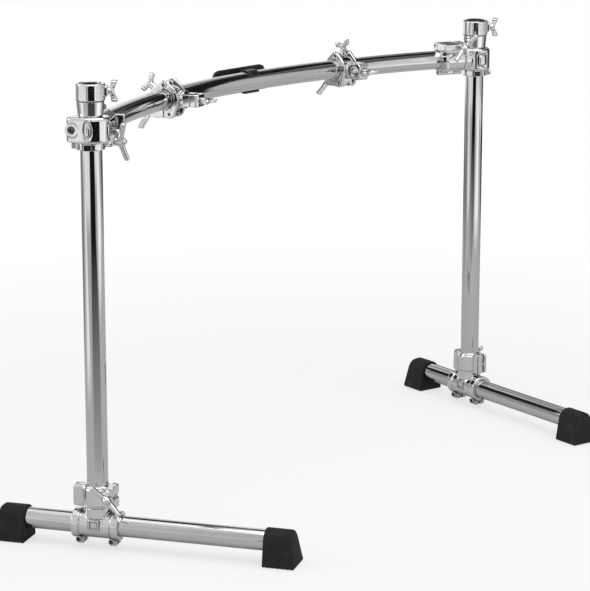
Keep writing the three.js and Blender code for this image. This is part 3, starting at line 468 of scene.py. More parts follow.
# section of a tube wall: up the outside, over the rim, down the inside, over the other rim
def wallSection(length, step):
    outer, inner, rim = tubeRadius, tubeRadius - layout["tubeWall"], tubeLook["rimRound"]
    runs = np.linspace(rim, length - rim, max(2, int(length / step)))
    outside = np.stack((np.full(len(runs), outer), runs), 1)
    inside = np.stack((np.full(len(runs), inner), runs[::-1]), 1)
    return np.concatenate((
        outside, quarterRound(outer - rim, length - rim, rim, 0)[1:],
        quarterRound(inner + rim, length - rim, rim, math.pi / 2)[:-1], inside,
        quarterRound(inner + rim, rim, rim, math.pi)[1:], quarterRound(outer - rim, rim, rim, -math.pi / 2)[:-1]))


# a straight tube: the wall's section turned about Z
def straightTube(length):
    return turnedSurface(wallSection(length, tubeLook["straightStep"]), tubeLook["sides"], True)


# the bent bar: each section point stands off the arc by its radius, outwards and upwards round a circle
def bentBar(start, length):
    section = wallSection(length, tubeLook["bentStep"])
    turn = (start + section[:, 1]) / arcRadius - halfAngle
    angle = np.linspace(0, 2 * math.pi, tubeLook["sides"], endpoint=False)
    away = section[:, :1] * np.cos(angle) + arcRadius
    points = np.stack((layout["spacing"] / 2 + np.sin(turn)[:, None] * away,
                       layout["bow"] - arcRadius + np.cos(turn)[:, None] * away,
                       layout["barHeight"] + section[:, :1] * np.sin(angle)), 2)
    return ringSurface(points, True)


barLength = (arcRadius * halfAngle - tubeLook["barInset"]) * 2
finishPiece("curved_bar", bentBar(tubeLook["barInset"], barLength), sharp=tubeSharp)
print("bar bent,", round(barLength, 1), "mm long")


# hinged clamp halves: the tube runs along c, the body lies at +a, the jaw at -a, the hinge at +b
clampLook = {
    "wall": 6.2, "boltAt": 27.5, "lugOut": 35.0, "lugInner": 14.0, "backLug": 19.0, "neckShare": 0.82,
    "lugCorner": 6.5, "seatCorner": 4.0, "cheek": 5.5, "cheekRadius": 30.8, "cheekEar": 14.0, "cheekIn": 5.5,
    "cheekEdge": 1.6, "cheekBack": 10.0, "lugRise": 6.0, "inward": -4.0, "knuckle": 5.8, "knuckleRoom": 0.7,
    "knuckleShare": 0.36, "slotHalf": 4.3,
    "pivotBack": 12.0, "splitHalf": 0.6, "eyeRoom": 6.1, "mouthBack": 5.5, "pinRoom": 2.75, "hingePin": 2.4,
    "edge": 1.3, "fillet": 3.0, "endStep": 4.0, "stepIn": 2.0, "stepFillet": 0.8, "cheekShort": 1.0,
    "cheekSoft": 0.6, "splitEdge": 0.7, "slotEdge": 0.4, "knuckleFillet": 1.0, "pinShort": 3.0, "pinDot": 3.3,
    "pinFillet": 0.8, "dotEdge": 0.2, "coverRound": 4.5, "coverOver": 0.6, "coverFillet": 4.0,
}
farOut, runOut = 90.0, 4.0  # past every casting's outside, and how far a tool runs past the form that it cuts
roomEdge = 0.3  # how round the tools' own edges are
cutEdge = {"fine": 0.4, "hole": 0.5, "room": 0.6, "bore": 0.7}  # how round the edges are that a cut leaves


# one half's outside: a stepped ring, the lug that the bolt clamps, the ear to the hinge, cheeks if asked
def clampShell(a, b, c, spec, side):
    look = clampLook
    outer = spec["bore"] + look["wall"]
    low, high, edge = spec["low"], spec["high"], spec.get("edge", look["edge"])
    ring = joined(look["stepFillet"], rodField(a, b, c, outer, low + look["endStep"], high - look["endStep"], edge),
                  rodField(a, b, c, outer - look["stepIn"], low, high, edge))
    depth = look["backLug"] if side > 0 else spec["lugFace"]
    neck, inward = min(depth, outer * look["neckShare"]), look["inward"]
    outline = [(inward, -look["lugInner"]), (inward, -look["lugOut"]), (depth, -look["lugOut"]),
               (depth, look["lugRise"] - look["boltAt"]), (neck, -look["lugInner"])]
    lug = plateField(a * side, b, c, outline, low, high, edge, look["lugCorner"] if side > 0 else look["seatCorner"])
    ear = boxField(a * side, b, c, (inward, look["lugInner"], low), (spec["earHalf"], spec["hingeAt"], high), edge)
    whole = joined(look["fillet"], ring, lug, ear)
    if spec.get("cheeks"):
        back = look["cheekBack"] if side > 0 else spec["lugFace"] - look["cheekEar"] - look["cheekShort"]
        band = hullOutline([(0, 0, look["cheekRadius"]), (0, spec["hingeAt"] - look["cheekIn"], look["cheekEar"]),
                            (back, -look["boltAt"] + look["cheekIn"], look["cheekEar"])])
        for first, last in ((low, low + look["cheek"]), (high - look["cheek"], high)):
            whole = blend(whole, plateField(a * side, b, c, band, first, last, look["cheekEdge"]), look["cheekSoft"])
    return common(whole, look["splitHalf"] - a * side, look["splitEdge"])


# what is cut out of both halves: the tube's bore, the bolt's slot, the eye's room with its mouth, the pin's hole
def clampRooms(a, b, c, spec):
    look = clampLook
    back, low, high = look["pivotBack"], spec["boltZ"] - look["slotHalf"], spec["boltZ"] + look["slotHalf"]
    bore = np.hypot(a, b) - spec["bore"]
    slot = boxField(a, b, c, (-farOut, -farOut, low), (back, look["slotHalf"] - look["boltAt"], high),
                    look["slotEdge"])
    eye = rodField(a - back, b + look["boltAt"], c, look["eyeRoom"], low, high, roomEdge)
    mouth = boxField(a, b, c, (back - look["mouthBack"], -farOut, low),
                     (back + look["eyeRoom"], -look["boltAt"], high), roomEdge)
    pin = np.hypot(a - back, b + look["boltAt"]) - look["pinRoom"]
    return bore, slot, np.minimum(eye, mouth), pin


# where the body's middle knuckle starts and ends
def knuckleSpan(spec):
    share = (spec["high"] - spec["low"]) * clampLook["knuckleShare"]
    return spec["low"] + share, spec["high"] - share


# the body's half: its shell with the middle knuckle, less the jaw's knuckles' rooms and what both halves lack
def clampBodyField(a, b, c, spec, shellLow=None):
    first, last = knuckleSpan(spec)
    look, at = clampLook, spec["hingeAt"]
    knuckle, room = look["knuckle"], look["knuckle"] + look["knuckleRoom"]
    shellSpec = spec if shellLow is None else {**spec, "low": shellLow}
    whole = clampShell(a, b, c, shellSpec, 1)
    whole = blend(whole, rodField(a, b - at, c, knuckle, first + seatGap, last - seatGap), look["knuckleFillet"])
    lowRoom = rodField(a, b - at, c, room, spec["low"] - seatGap, first, roomEdge)
    highRoom = rodField(a, b - at, c, room, last, spec["high"] + runOut, roomEdge)
    for tool in (lowRoom, highRoom, *clampRooms(a, b, c, spec)):
        whole = carve(whole, tool, cutEdge["room"])
    return whole


# the jaw's half: its shell with a knuckle at each end and the pin between them, a dot sunk in each pin end,
# and a rounded cover over the hinge if asked
def clampJawField(a, b, c, spec):
    first, last = knuckleSpan(spec)
    look, at = clampLook, spec["hingeAt"]
    knuckle, room = look["knuckle"], look["knuckle"] + look["knuckleRoom"]
    bore, slot = clampRooms(a, b, c, spec)[:2]
    whole = clampShell(a, b, c, spec, -1)
    for tool in (rodField(a, b - at, c, room, first, last, roomEdge), bore, slot):
        whole = carve(whole, tool, cutEdge["room"])
    low = rodField(a, b - at, c, knuckle, spec["low"], first - seatGap)
    high = rodField(a, b - at, c, knuckle, last + seatGap, spec["high"])
    pin = rodField(a, b - at, c, look["hingePin"], spec["low"], spec["high"], roomEdge)
    whole = joined(look["pinFillet"], whole, low, high, pin)
    if spec.get("cover"):
        cover = boxField(a, b, c, (-spec["cover"], look["lugInner"], spec["low"]),
                         (-room, at + knuckle + look["coverOver"], spec["high"]), look["coverRound"])
        whole = blend(whole, carve(cover, bore, cutEdge["room"]), look["coverFillet"])
    for end in (spec["low"], spec["high"]):
        dot = rodField(a, b - at, c, look["pinDot"], end - look["pinShort"], end + look["pinShort"], look["dotEdge"])
        whole = carve(whole, dot, cutEdge["fine"])
    return whole


# bolts, nuts and screws
boltLook = {"radius": 3.5, "eyeRadius": 5.5, "eyeHalf": 3.9, "pinRadius": 2.4, "thread": 15.0,
            "pitch": 1.25, "threadDepth": 0.55, "sides": 28, "rowsPerPitch": 6, "leastRows": 8,
            "footTaper": 0.5, "tipTaper": 0.9, "eyeEdge": 0.7, "pinEdge": 0.4}


# a thread: the radius falls and rises with height and with the turn, so that the crest climbs one pitch a turn
def threadedRod(radius, low, high, depth, pitch):
    rows = max(boltLook["leastRows"], int((high - low) / pitch * boltLook["rowsPerPitch"]))
    height = np.linspace(low, high, rows)
    angle = np.linspace(0, 2 * math.pi, boltLook["sides"], endpoint=False)
    wave = 0.5 + 0.5 * np.cos(2 * math.pi * height[:, None] / pitch - angle[None])
    away = radius - depth * wave
    away[0] -= boltLook["footTaper"]
    away[-1] -= boltLook["tipTaper"]
    points = np.stack((away * np.cos(angle), away * np.sin(angle), np.repeat(height[:, None], len(angle), 1)), 2)
    return ringSurface(points)


# a short round bar with rounded ends
def roundedStub(radius, low, high, edge, sides=32):
    lower = quarterRound(radius - edge, low + edge, edge, -math.pi / 2)
    return turnedSurface(np.concatenate((lower, quarterRound(radius - edge, high - edge, edge, 0))), sides)


# swing bolt: an eye on its cross pin, and the threaded shank that points at -X
def swingBolt(spec):
    look = boltLook
    tip = clampLook["pivotBack"] + spec["lugFace"] + seatGap + look["thread"]
    eye = roundedStub(look["eyeRadius"], -look["eyeHalf"], look["eyeHalf"], look["eyeEdge"])
    short, middle = clampLook["pinShort"], spec["boltZ"]
    pin = roundedStub(look["pinRadius"], spec["low"] - middle + short, spec["high"] - middle - short,
                      look["pinEdge"])
    shank = applied(frameOf(yDir, zDir, xDir) @ turnAbout("X", math.pi),
                    threadedRod(look["radius"], 0, tip, look["threadDepth"], look["pitch"]))
    return together(eye, pin, shank)


# where the flutes start, end and have a crest as shares of the half span, and how they fade in, out and to the
# blade's middle
fluteLook = {"start": 0.42, "fadeIn": 0.12, "end": 0.97, "fadeOut": 1.5, "crest": 0.45, "middle": 0.3}


# wings: a blade through the hub, low at the root and tall at its tips, its faces rising and falling in flutes
# as a cosine of the distance from the middle
def wingBlade(x, y, z, size):
    tip, look, away = size["halfSpan"], fluteLook, np.abs(x)
    outline = [(-tip, size["tipLow"]), (0, size["rootLow"]), (tip, size["tipLow"]), (tip, size["tipHigh"]),
               (0, size["rootHigh"]), (-tip, size["tipHigh"])]
    blade = plateField(x, z, y, outline, -size["lobeThick"] / 2, size["lobeThick"] / 2, size["blade"])
    reach = np.clip((away - tip * look["start"]) / (tip * look["fadeIn"]), 0, 1)
    reach = reach * np.clip((tip * look["end"] - away) / look["fadeOut"], 0, 1)
    wave = 0.5 + 0.5 * np.cos(2 * math.pi * (away - tip * look["crest"]) / size["flutePitch"])
    return blade + wave * size["fluteDepth"] * reach * np.clip(np.abs(y) / (size["lobeThick"] * look["middle"]), 0, 1)


nutLook = {"hubRadius": 7.5, "capRadius": 5.2, "hubLength": 21.0, "shoulder": 15.0, "halfSpan": 36.5,
           "lobeThick": 9.0, "rootLow": 4.0, "rootHigh": 14.0, "tipLow": 13.6, "tipHigh": 24.0, "blade": 4.2,
           "flutePitch": 5.0, "fluteDepth": 0.25, "hole": 3.85, "holeDepth": 16.0, "capFlare": 0.6,
           "shoulderRise": 2.5, "capRound": 2.0, "hubEdge": 0.8, "wingFillet": 3.0,
           "box": ((-36.5, -7.8, 0), (36.5, 7.8, 24)), "step": 0.8}
flutedNutLook = {**nutLook, "tipLow": 11.0, "blade": 3.0, "fluteDepth": 1.4}


# wing nut: a turned hub with a narrower cap, the wings blended in, a hole from below
def wingNutField(x, y, z, size=nutLook):
    wide, cap, length, shoulder = size["hubRadius"], size["capRadius"], size["hubLength"], size["shoulder"]
    section = [(-runOut, 0), (wide, 0), (wide, shoulder), (cap + size["capFlare"], shoulder + size["shoulderRise"]),
               (cap, length - size["capRound"]), (cap / 2, length), (-runOut, length)]
    whole = blend(turnedField(x, y, z, section, size["hubEdge"]), wingBlade(x, y, z, size), size["wingFillet"])
    return carve(whole, rodField(x, y, z, size["hole"], -runOut, size["holeDepth"], roomEdge), cutEdge["room"])


topWingLook = {"hubRadius": 6.4, "hubLength": 9.0, "halfSpan": 19.5, "lobeThick": 8.4, "rootLow": 1.6,
               "rootHigh": 9.0, "tipLow": 5.0, "tipHigh": 17.8, "blade": 3.0, "flutePitch": 4.2, "fluteDepth": 1.4,
               "shoulderShare": 0.75, "capShare": 0.6, "hubEdge": 0.7, "wingFillet": 2.0,
               "shankRadius": 3.0, "threadDepth": 0.45, "pitch": 1.0,
               "box": ((-19.5, -6.4, 0), (19.5, 6.4, 18)), "step": 0.6}


# a wing screw's head: a turned hub with the wings blended in
def wingScrewField(x, y, z):
    look, wide, length = topWingLook, topWingLook["hubRadius"], topWingLook["hubLength"]
    section = [(-runOut, 0), (wide, 0), (wide, length * look["shoulderShare"]), (wide * look["capShare"], length),
               (-runOut, length)]
    return blend(turnedField(x, y, z, section, look["hubEdge"]), wingBlade(x, y, z, look), look["wingFillet"])


wingNut = skin(wingNutField, *nutLook["box"], nutLook["step"])
flutedNut = skin(lambda x, y, z: wingNutField(x, y, z, flutedNutLook), *nutLook["box"], nutLook["step"])
wingScrewHead = skin(wingScrewField, *topWingLook["box"], topWingLook["step"])
shankInHead = 1.0  # every screw's shank starts this far inside its head


# wing screw: the head with a threaded shank down to its tip
def wingScrew(shankTip):
    look = topWingLook
    shank = threadedRod(look["shankRadius"], shankTip, shankInHead, look["threadDepth"], look["pitch"])
    return together(wingScrewHead, shank)


socketLook = {"knurls": 26, "knurlDepth": 0.14, "knurlFade": 0.8, "rim": 1.6, "edge": 0.9, "hexShare": 0.9,
              "threadDepth": 0.4, "pitch": 1.0, "step": 0.42}


# socket screw: a rounded head whose rim is knurled as a cosine of the angle, less a hexagon, which is the greatest of
# three distances across; its shank is threaded, and tucked says how deep in a room it sits, and is added to the
# head's shelter as painted shade all over it
def socketScrew(size, shankLength, tucked=0.0):
    wide, length, deep = size["headRadius"], size["headLength"], socketLook["knurlDepth"]

    def head(x, y, z):
        knurl = deep * np.cos(np.arctan2(y, x) * socketLook["knurls"])
        knurl = knurl * np.clip((length - socketLook["rim"] - z) / socketLook["knurlFade"], 0, 1)
        cap = rodField(x, y, z, wide, 0, length, socketLook["edge"]) + deep - knurl
        sides = [np.abs(np.cos(turn) * x + np.sin(turn) * y) for turn in (0.0, math.pi / 3, 2 * math.pi / 3)]
        across = np.maximum(np.maximum(*sides[:2]), sides[2])
        hexagon = np.maximum(across - size["hexRadius"] * socketLook["hexShare"], length - size["hexDepth"] - z)
        return carve(cap, hexagon, cutEdge["fine"])
    verts, quads, tris, shelter = skin(head, (-wide, -wide, 0), (wide, wide, length), socketLook["step"])
    shank = threadedRod(size["shankRadius"], -shankLength, shankInHead, socketLook["threadDepth"],
                        socketLook["pitch"])
    # painted shade: tucked darkens the whole head for the room it sits in
    return together((verts, quads, tris, np.minimum(shelter + tucked, 1)), shank)


print("bolts, nuts and screws made")

# corner clamp: collar on the upright, socket for the bar, in a frame with X into the bar
cornerLook = {
    "collarPlan": [(0, 0, 31.0), (-1, -8, 26.5), (-12, 27, 12.5)],
    "collarLow": -21.0, "collarHigh": 24.0, "collarEdge": 5.0, "neckEnd": 31.0,
    "socketStart": 31.6, "socketEnd": 88.0, "boltX": 47.0, "barMouth": 35.5, "ribStart": 81.0, "ribEnd": 88.0,
    "ribLow": -12.0, "ribHigh": 15.0, "ribOut": 39.5, "ribInner": 22.0, "ribGroove": 1.4, "ribGrooveDepth": 2.5,
    "ribEdge": 1.4, "ribFillet": 2.0, "neckStart": 4.0, "neckFillet": 2.0, "overlap": 2.0, "socketFillet": 1.5,
    "mouthEdge": 0.4, "bossEdge": 1.2, "webEdge": 1.5, "shankShort": 3.0, "squareness": 6,
    "bossY": 27.0, "bossZ": 2.0, "bossRadius": 12.0, "bossFront": -27.0, "bossBack": 15.0, "slotHalf": 1.5,
    "ovalY": -2.0, "ovalHalf": (6.5, 14.0), "ovalSink": 2.2, "padX": 0.0, "padHalf": (8.5, 12.0), "padSink": 3.6,
    "grooveSharp": 5.0, "markStart": 18.0, "markFade": 4.0, "headRoom": 6.3,
    "bodyBox": ((-33, -36, -36), (88, 41, 33)), "jawOut": (-40, -36), "jawIn": (6, 33), "step": 1.1,
    "nutTurn": {"left": math.pi * 0.6, "right": math.pi * 0.25},
}
collarScrewLook = {"headRadius": 5.2, "headLength": 6.0, "shankRadius": 3.0, "hexRadius": 3.9, "hexDepth": 5.0,
                   "short": 12.0, "tucked": 0.3}
socketMiddle = (cornerLook["socketStart"] + cornerLook["socketEnd"]) / 2
socketOffset = socketMiddle ** 2 / (2 * arcRadius)
cornerSpec = {"bore": barBore, "low": cornerLook["socketStart"] - socketMiddle,
              "high": cornerLook["socketEnd"] - socketMiddle, "boltZ": cornerLook["boltX"] - socketMiddle,
              "lugFace": 31.0, "hingeAt": 26.8, "earHalf": 5.0}


# corner body: the collar's plate, the neck along the bar and the boss for the collar's screw with its web,
# joined to the socket's half, less both bores, the collar's slot and the screw's room
def cornerBodyField(x, y, z):
    look, screw = cornerLook, collarScrewLook
    outer = barBore + clampLook["wall"]
    collar = plateField(x, y, z, hullOutline(look["collarPlan"]), look["collarLow"], look["collarHigh"],
                        look["collarEdge"])
    # a plain oval on the outer face and a plain square pad on the side, each outlined by a groove whose depth
    # falls off like a bell to both sides of the line where the oval's or the square's own radius is 1
    wide, high = look["ovalHalf"]
    oval = np.sqrt(((y - look["ovalY"]) / wide) ** 2 + ((z - look["bossZ"]) / high) ** 2)
    wide, high = look["padHalf"]
    power = look["squareness"]
    square = (((x - look["padX"]) / wide) ** power + ((z - look["bossZ"]) / high) ** power) ** (1 / power)
    for ring, sink, faces in ((oval, look["ovalSink"], -x), (square, look["padSink"], -y)):
        groove = np.exp(-((ring - 1) * look["grooveSharp"]) ** 2)
        collar = collar + sink * groove * np.clip((faces - look["markStart"]) / look["markFade"], 0, 1)
    overlap, neckEnd = look["overlap"], look["neckEnd"]
    neck = rodField(y - socketOffset, z, x, outer, look["neckStart"], neckEnd + overlap, clampLook["edge"])
    neck = common(neck, np.maximum(look["collarLow"] - z, z - look["collarHigh"]), look["neckFillet"])
    socket = clampBodyField(y - socketOffset, z, x - socketMiddle, cornerSpec, neckEnd - overlap - socketMiddle)
    bossY, bossZ = look["bossY"], look["bossZ"]
    boss = rodField(y - bossY, z - bossZ, x, look["bossRadius"], look["bossFront"], look["bossBack"],
                    look["bossEdge"])
    web = boxField(x, y, z, (look["bossFront"] + overlap, 0, bossZ - look["bossRadius"]),
                   (look["bossBack"], bossY, bossZ + look["bossRadius"]), look["webEdge"])
    whole = joined(clampLook["fillet"], collar, neck, boss, web)
    whole = blend(whole, socket, look["socketFillet"])
    bore = np.hypot(x, y) - uprightBore
    barHole = rodField(y - socketOffset, z, x, barBore, look["barMouth"], look["socketEnd"] + runOut,
                       look["mouthEdge"])
    slot = boxField(x, y, z, (-look["slotHalf"], 0, -farOut), (look["slotHalf"], farOut, farOut), roomEdge)
    headRoom = rodField(y - bossY, z - bossZ, x, look["headRoom"], look["bossFront"] - runOut,
                        look["bossFront"] + screw["headLength"], roomEdge)
    shankRoom = rodField(y - bossY, z - bossZ, x, screw["shankRadius"] + screwGap, look["bossFront"],
                         look["bossBack"] - look["shankShort"], roomEdge)
    for tool in (bore, barHole, slot, headRoom, shankRoom):
        whole = carve(whole, tool, cutEdge["bore"])
    return whole


# corner jaw: the socket's other half with a grooved rib across its outer end
def cornerJawField(a, b, c):
    look, out, groove = cornerLook, -cornerLook["ribOut"], cornerLook["ribGroove"] / 2
    low, high = look["ribStart"] - socketMiddle, look["ribEnd"] - socketMiddle
    rib = boxField(a, b, c, (out, look["ribLow"], low), (look["overlap"] - look["ribInner"], look["ribHigh"], high),
                   look["ribEdge"])
    cut = boxField(a, b, c, (out - runOut, -groove, low - runOut),
                   (out + look["ribGrooveDepth"], groove, high + runOut), roomEdge)
    return blend(clampJawField(a, b, c, cornerSpec), carve(rib, cut, cutEdge["hole"]), look["ribFillet"])


cornerBody = skin(cornerBodyField, *cornerLook["bodyBox"], cornerLook["step"])
cornerJaw = skin(cornerJawField, (*cornerLook["jawOut"], cornerSpec["low"]),
                 (*cornerLook["jawIn"], cornerSpec["high"]), cornerLook["step"])
print("corner clamps cast,", len(cornerBody[1]) + len(cornerJaw[1]), "faces a side")

# foot clamp: sleeve on the base tube, socket for the upright, in a frame with X to the front foot
footLook = {
    "bandRadius": 26.6, "sleeveRadius": 24.6, "halfLength": 44.0, "bandWidth": 14.0, "slotHalf": 1.5,
    "saddleRadius": 23.8, "saddleLow": 12.0, "saddleTop": 33.7, "uprightSeat": 23.7, "socketStart": 34.0,
    "socketTop": 74.0, "pinchX": 31.0, "pinchZ": -26.0, "pinchHalf": 12.5, "pinchHeight": 7.0, "pinchWidth": 7.0,
    "padHalf": 10.0, "padLow": -5.0, "padHigh": 14.0, "padOut": 26.8, "padInner": 20.0, "padRim": 2.6, "padDish": 1.6,
    "bodyBox": ((-45, -38, -37), (45, 38, 75)), "jawOut": (-28, -36), "jawIn": (6, 42), "step": 1.1,
    "nutTurn": math.pi * 0.27, "sleeveIn": 3.0, "blockUnder": 2.0, "overlap": 2.0,
    "sleeveEdge": 1.0, "bandEdge": 1.6, "blockEdge": 2.2, "padEdge": 1.0, "dishEdge": 0.6, "saddleEdge": 1.0,
    "blockFillet": 2.2, "padFillet": 1.0, "socketFillet": 1.0,
}
pinchLook = {"headRadius": 6.0, "headLength": 6.5, "shankRadius": 3.0, "hexRadius": 4.2, "hexDepth": 5.5,
             "short": 1.0}
footMiddle = (footLook["socketStart"] + footLook["socketTop"]) / 2
footSpec = {"bore": uprightBore, "low": footLook["socketStart"] - footMiddle,
            "high": footLook["socketTop"] - footMiddle, "boltZ": 0.0, "lugFace": 16.5, "hingeAt": 36.0,
            "earHalf": 9.5, "cover": 14.5, "edge": 2.8}


# the sleeve with its two bands, the blocks for the pinch screws, the saddle under the upright and a dished pad
def sleeveField(x, y, z):
    look, edge = footLook, footLook["bandEdge"]
    end, band = look["halfLength"], look["halfLength"] - look["bandWidth"]
    wide, deep, middle, tall = look["pinchWidth"], look["pinchHalf"], look["pinchZ"], look["pinchHeight"]
    short = end - look["sleeveIn"]
    sleeve = rodField(y, z, x, look["sleeveRadius"], -short, short, look["sleeveEdge"])
    bands = [rodField(y, z, x, look["bandRadius"], low, high, edge) for low, high in ((-end, -band), (band, end))]
    blocks = [boxField(x, y, z, (at - wide, -deep, middle - tall - look["blockUnder"]),
                       (at + wide, deep, middle + tall), look["blockEdge"])
              for at in (-look["pinchX"], look["pinchX"])]
    half, low, high, out, rim = look["padHalf"], look["padLow"], look["padHigh"], look["padOut"], look["padRim"]
    pad = boxField(x, y, z, (-half, -out, low), (half, -look["padInner"], high), look["padEdge"])
    dish = boxField(x, y, z, (rim - half, -farOut, low + rim), (half - rim, look["padDish"] - out, high - rim),
                    look["dishEdge"])
    saddle = rodField(x, y, z, look["saddleRadius"], look["saddleLow"], look["saddleTop"], look["saddleEdge"])
    whole = joined(look["blockFillet"], sleeve, *bands, *blocks)
    return joined(look["padFillet"], joined(clampLook["fillet"], whole, saddle), carve(pad, dish, cutEdge["hole"]))


# the whole body: sense 1 puts the socket's hinge to the rear, -1 to the front
def footBodyField(sense):
    look = footLook

    def field(x, y, z):
        shellLow = look["saddleTop"] - look["overlap"] - footMiddle
        socket = clampBodyField(y * sense, -x * sense, z - footMiddle, footSpec, shellLow)
        whole = blend(sleeveField(x, y, z), socket, look["socketFillet"])
        tools = [np.hypot(y, z) - uprightBore,
                 rodField(x, y, z, uprightBore, look["uprightSeat"], look["socketTop"] + runOut, roomEdge),
                 boxField(x, y, z, (-farOut, -look["slotHalf"], -farOut), (farOut, look["slotHalf"], 0), roomEdge)]
        for at in (-look["pinchX"], look["pinchX"]):
            for radius, end in ((pinchLook["shankRadius"], farOut), (pinchLook["headRadius"], -look["pinchHalf"])):
                tools.append(rodField(x - at, z - look["pinchZ"], y, radius + screwGap, -farOut, end, roomEdge))
        for tool in tools:
            whole = carve(whole, tool, cutEdge["bore"])
        return whole
    return field


footJaw = skin(lambda a, b, c: clampJawField(a, b, c, footSpec), (*footLook["jawOut"], footSpec["low"]),
               (*footLook["jawIn"], footSpec["high"]), footLook["step"])
footBodies = {side: skin(footBodyField(sense), *footLook["bodyBox"], footLook["step"])
              for side, sense in (("left", 1), ("right", -1))}
print("foot clamps cast,", len(footBodies["left"][1]), "faces each")

# rubber foot: arched over the tube, flared to a flat sole, sloped at its end, its bore open at X = 0
rubberLook = {"archRadius": 23.0, "halfWidth": 30.0, "length": 60.0, "slope": 10.0, "chamfer": 4.0,
              "soleIn": 2.0, "soleRise": 3.0, "archPoints": 25, "boreDepth": 45.0, "boreGap": 0.3,
              "gripPitch": 9.0, "gripStart": 6.0, "gripDepth": 0.7, "gripRise": 2.2, "gripFade": 0.8,
              "gripSharp": 3.0, "gripFrom": 0.6, "archRise": 2.0, "round": 3.0, "sectionEdge": 1.6,
              "boreEdge": 0.5, "mouthEdge": 0.8, "edge": 2.2, "box": ((0, -30, -42), (60, 30, 24)), "step": 1.6}


# rubber foot: what its section across the tube and its outline from the side have in common, less the bore
def rubberFootField(x, y, z):
    look, sole = rubberLook, -layout["baseHeight"]
    arch, wide, length, cut = look["archRadius"], look["halfWidth"], look["length"], look["chamfer"]
    flare = math.asin((wide - arch) / -sole) / 2
    turn = np.linspace(flare, math.pi - flare, look["archPoints"])
    over = np.stack((arch * np.cos(turn), arch * np.sin(turn)), 1)
    flat, rise = wide - look["soleIn"], sole + look["soleRise"]
    section = [(-flat, sole), (flat, sole), (wide, rise), *over, (-wide, rise)]
    across = plateField(y, z, x, section, 0, farOut, look["sectionEdge"])
    side = [(0, sole), (length - cut / 2, sole), (length, sole + cut), (length - look["slope"], arch - cut),
            (length - look["slope"] - cut, arch), (cut / 2, arch + look["archRise"]), (0, arch - cut / 2)]
    along = plateField(x, z, y, side, -farOut, farOut, look["edge"])
    whole = common(across, along, look["round"])
    # shallow grip grooves across the sole, where a wave along the foot is near its crest
    wave = np.cos(2 * math.pi * (x - look["gripStart"]) / look["gripPitch"])
    low = np.clip((sole + look["gripRise"] - z) / look["gripFade"], 0, 1)
    whole = whole + look["gripDepth"] * np.clip((wave - look["gripFrom"]) * look["gripSharp"], 0, 1) * low
    bore = rodField(y, z, x, tubeRadius + look["boreGap"], -runOut, look["boreDepth"], look["boreEdge"])
    return carve(whole, bore, look["mouthEdge"])


rubberFoot = skin(rubberFootField, *rubberLook["box"], rubberLook["step"])
print("rubber feet moulded,", len(rubberFoot[1]), "faces each")

# memory lock, top clamp and bushing
lockLook = {"radius": 24.4, "height": 12.6, "lugStart": 21.0, "lugEnd": 26.5, "lugHalf": 6.5,
            "groove": 0.8, "grooveDepth": 3.2, "grooves": (-3.3, 12.5), "blockIn": 17.0, "blockOut": 25.6,
            "edge": 1.4, "lugEdge": 1.0, "lugFillet": 1.2, "blockFillet": 0.6,
            "box": ((-25, -25, 0), (27, 25, 12.6)), "step": 0.8}
lockScrewLook = {"headRadius": 5.4, "headLength": 7.0, "shankRadius": 2.8, "hexRadius": 3.7, "hexDepth": 5.5}


# memory lock: a ring with the lug for its screw, and on each flank a block between two grooves
def memoryLockField(x, y, z):
    look, tall = lockLook, lockLook["height"]
    ring = rodField(x, y, z, look["radius"], 0, tall, look["edge"])
    lug = boxField(x, y, z, (look["lugStart"], -look["lugHalf"], 0), (look["lugEnd"], look["lugHalf"], tall),
                   look["lugEdge"])
    first, second = look["grooves"]
    block = boxField(x, np.abs(y), z, (first, look["blockIn"], 0), (second, look["blockOut"], tall),
                     look["lugEdge"])
    whole = blend(blend(ring, lug, look["lugFillet"]), block, look["blockFillet"])
    for at in look["grooves"]:
        floor = np.sqrt(look["radius"] ** 2 - at * at) - look["grooveDepth"]
        line = boxField(x, np.abs(y), z, (at - look["groove"], floor, -farOut), (at + look["groove"], farOut, farOut),
                        roomEdge)
        whole = carve(whole, line, cutEdge["hole"])
    hole = rodField(y, z - tall / 2, x, lockScrewLook["shankRadius"] + screwGap, 0, farOut, roomEdge)
    return carve(carve(whole, np.hypot(x, y) - uprightBore, cutEdge["bore"]), hole, cutEdge["hole"])


topLook = {"coneTop": 26.5, "high": 56.0, "coneLow": 21.9, "coneHigh": 24.6, "ringRadius": 26.0, "bossLow": 33.0,
           "bossHigh": 52.0, "bossHalf": 8.5, "bossEnd": 31.0, "bossInner": 21.0, "groove": 0.9, "slotHalf": 0.9,
           "slotInner": 24.2, "under": 0.8, "overlap": 2.0, "coneEdge": 0.9, "ringEdge": 1.6, "bossEdge": 3.0,
           "ringFillet": 0.5, "bossFillet": 0.9, "notchDrop": 0.2, "splitRise": 3.0, "splitEdge": 0.3,
           "boreEdge": 0.9, "box": ((-26, -26, 0), (31, 26, 56)), "step": 0.9}
bossMiddle = (topLook["bossLow"] + topLook["bossHigh"]) / 2


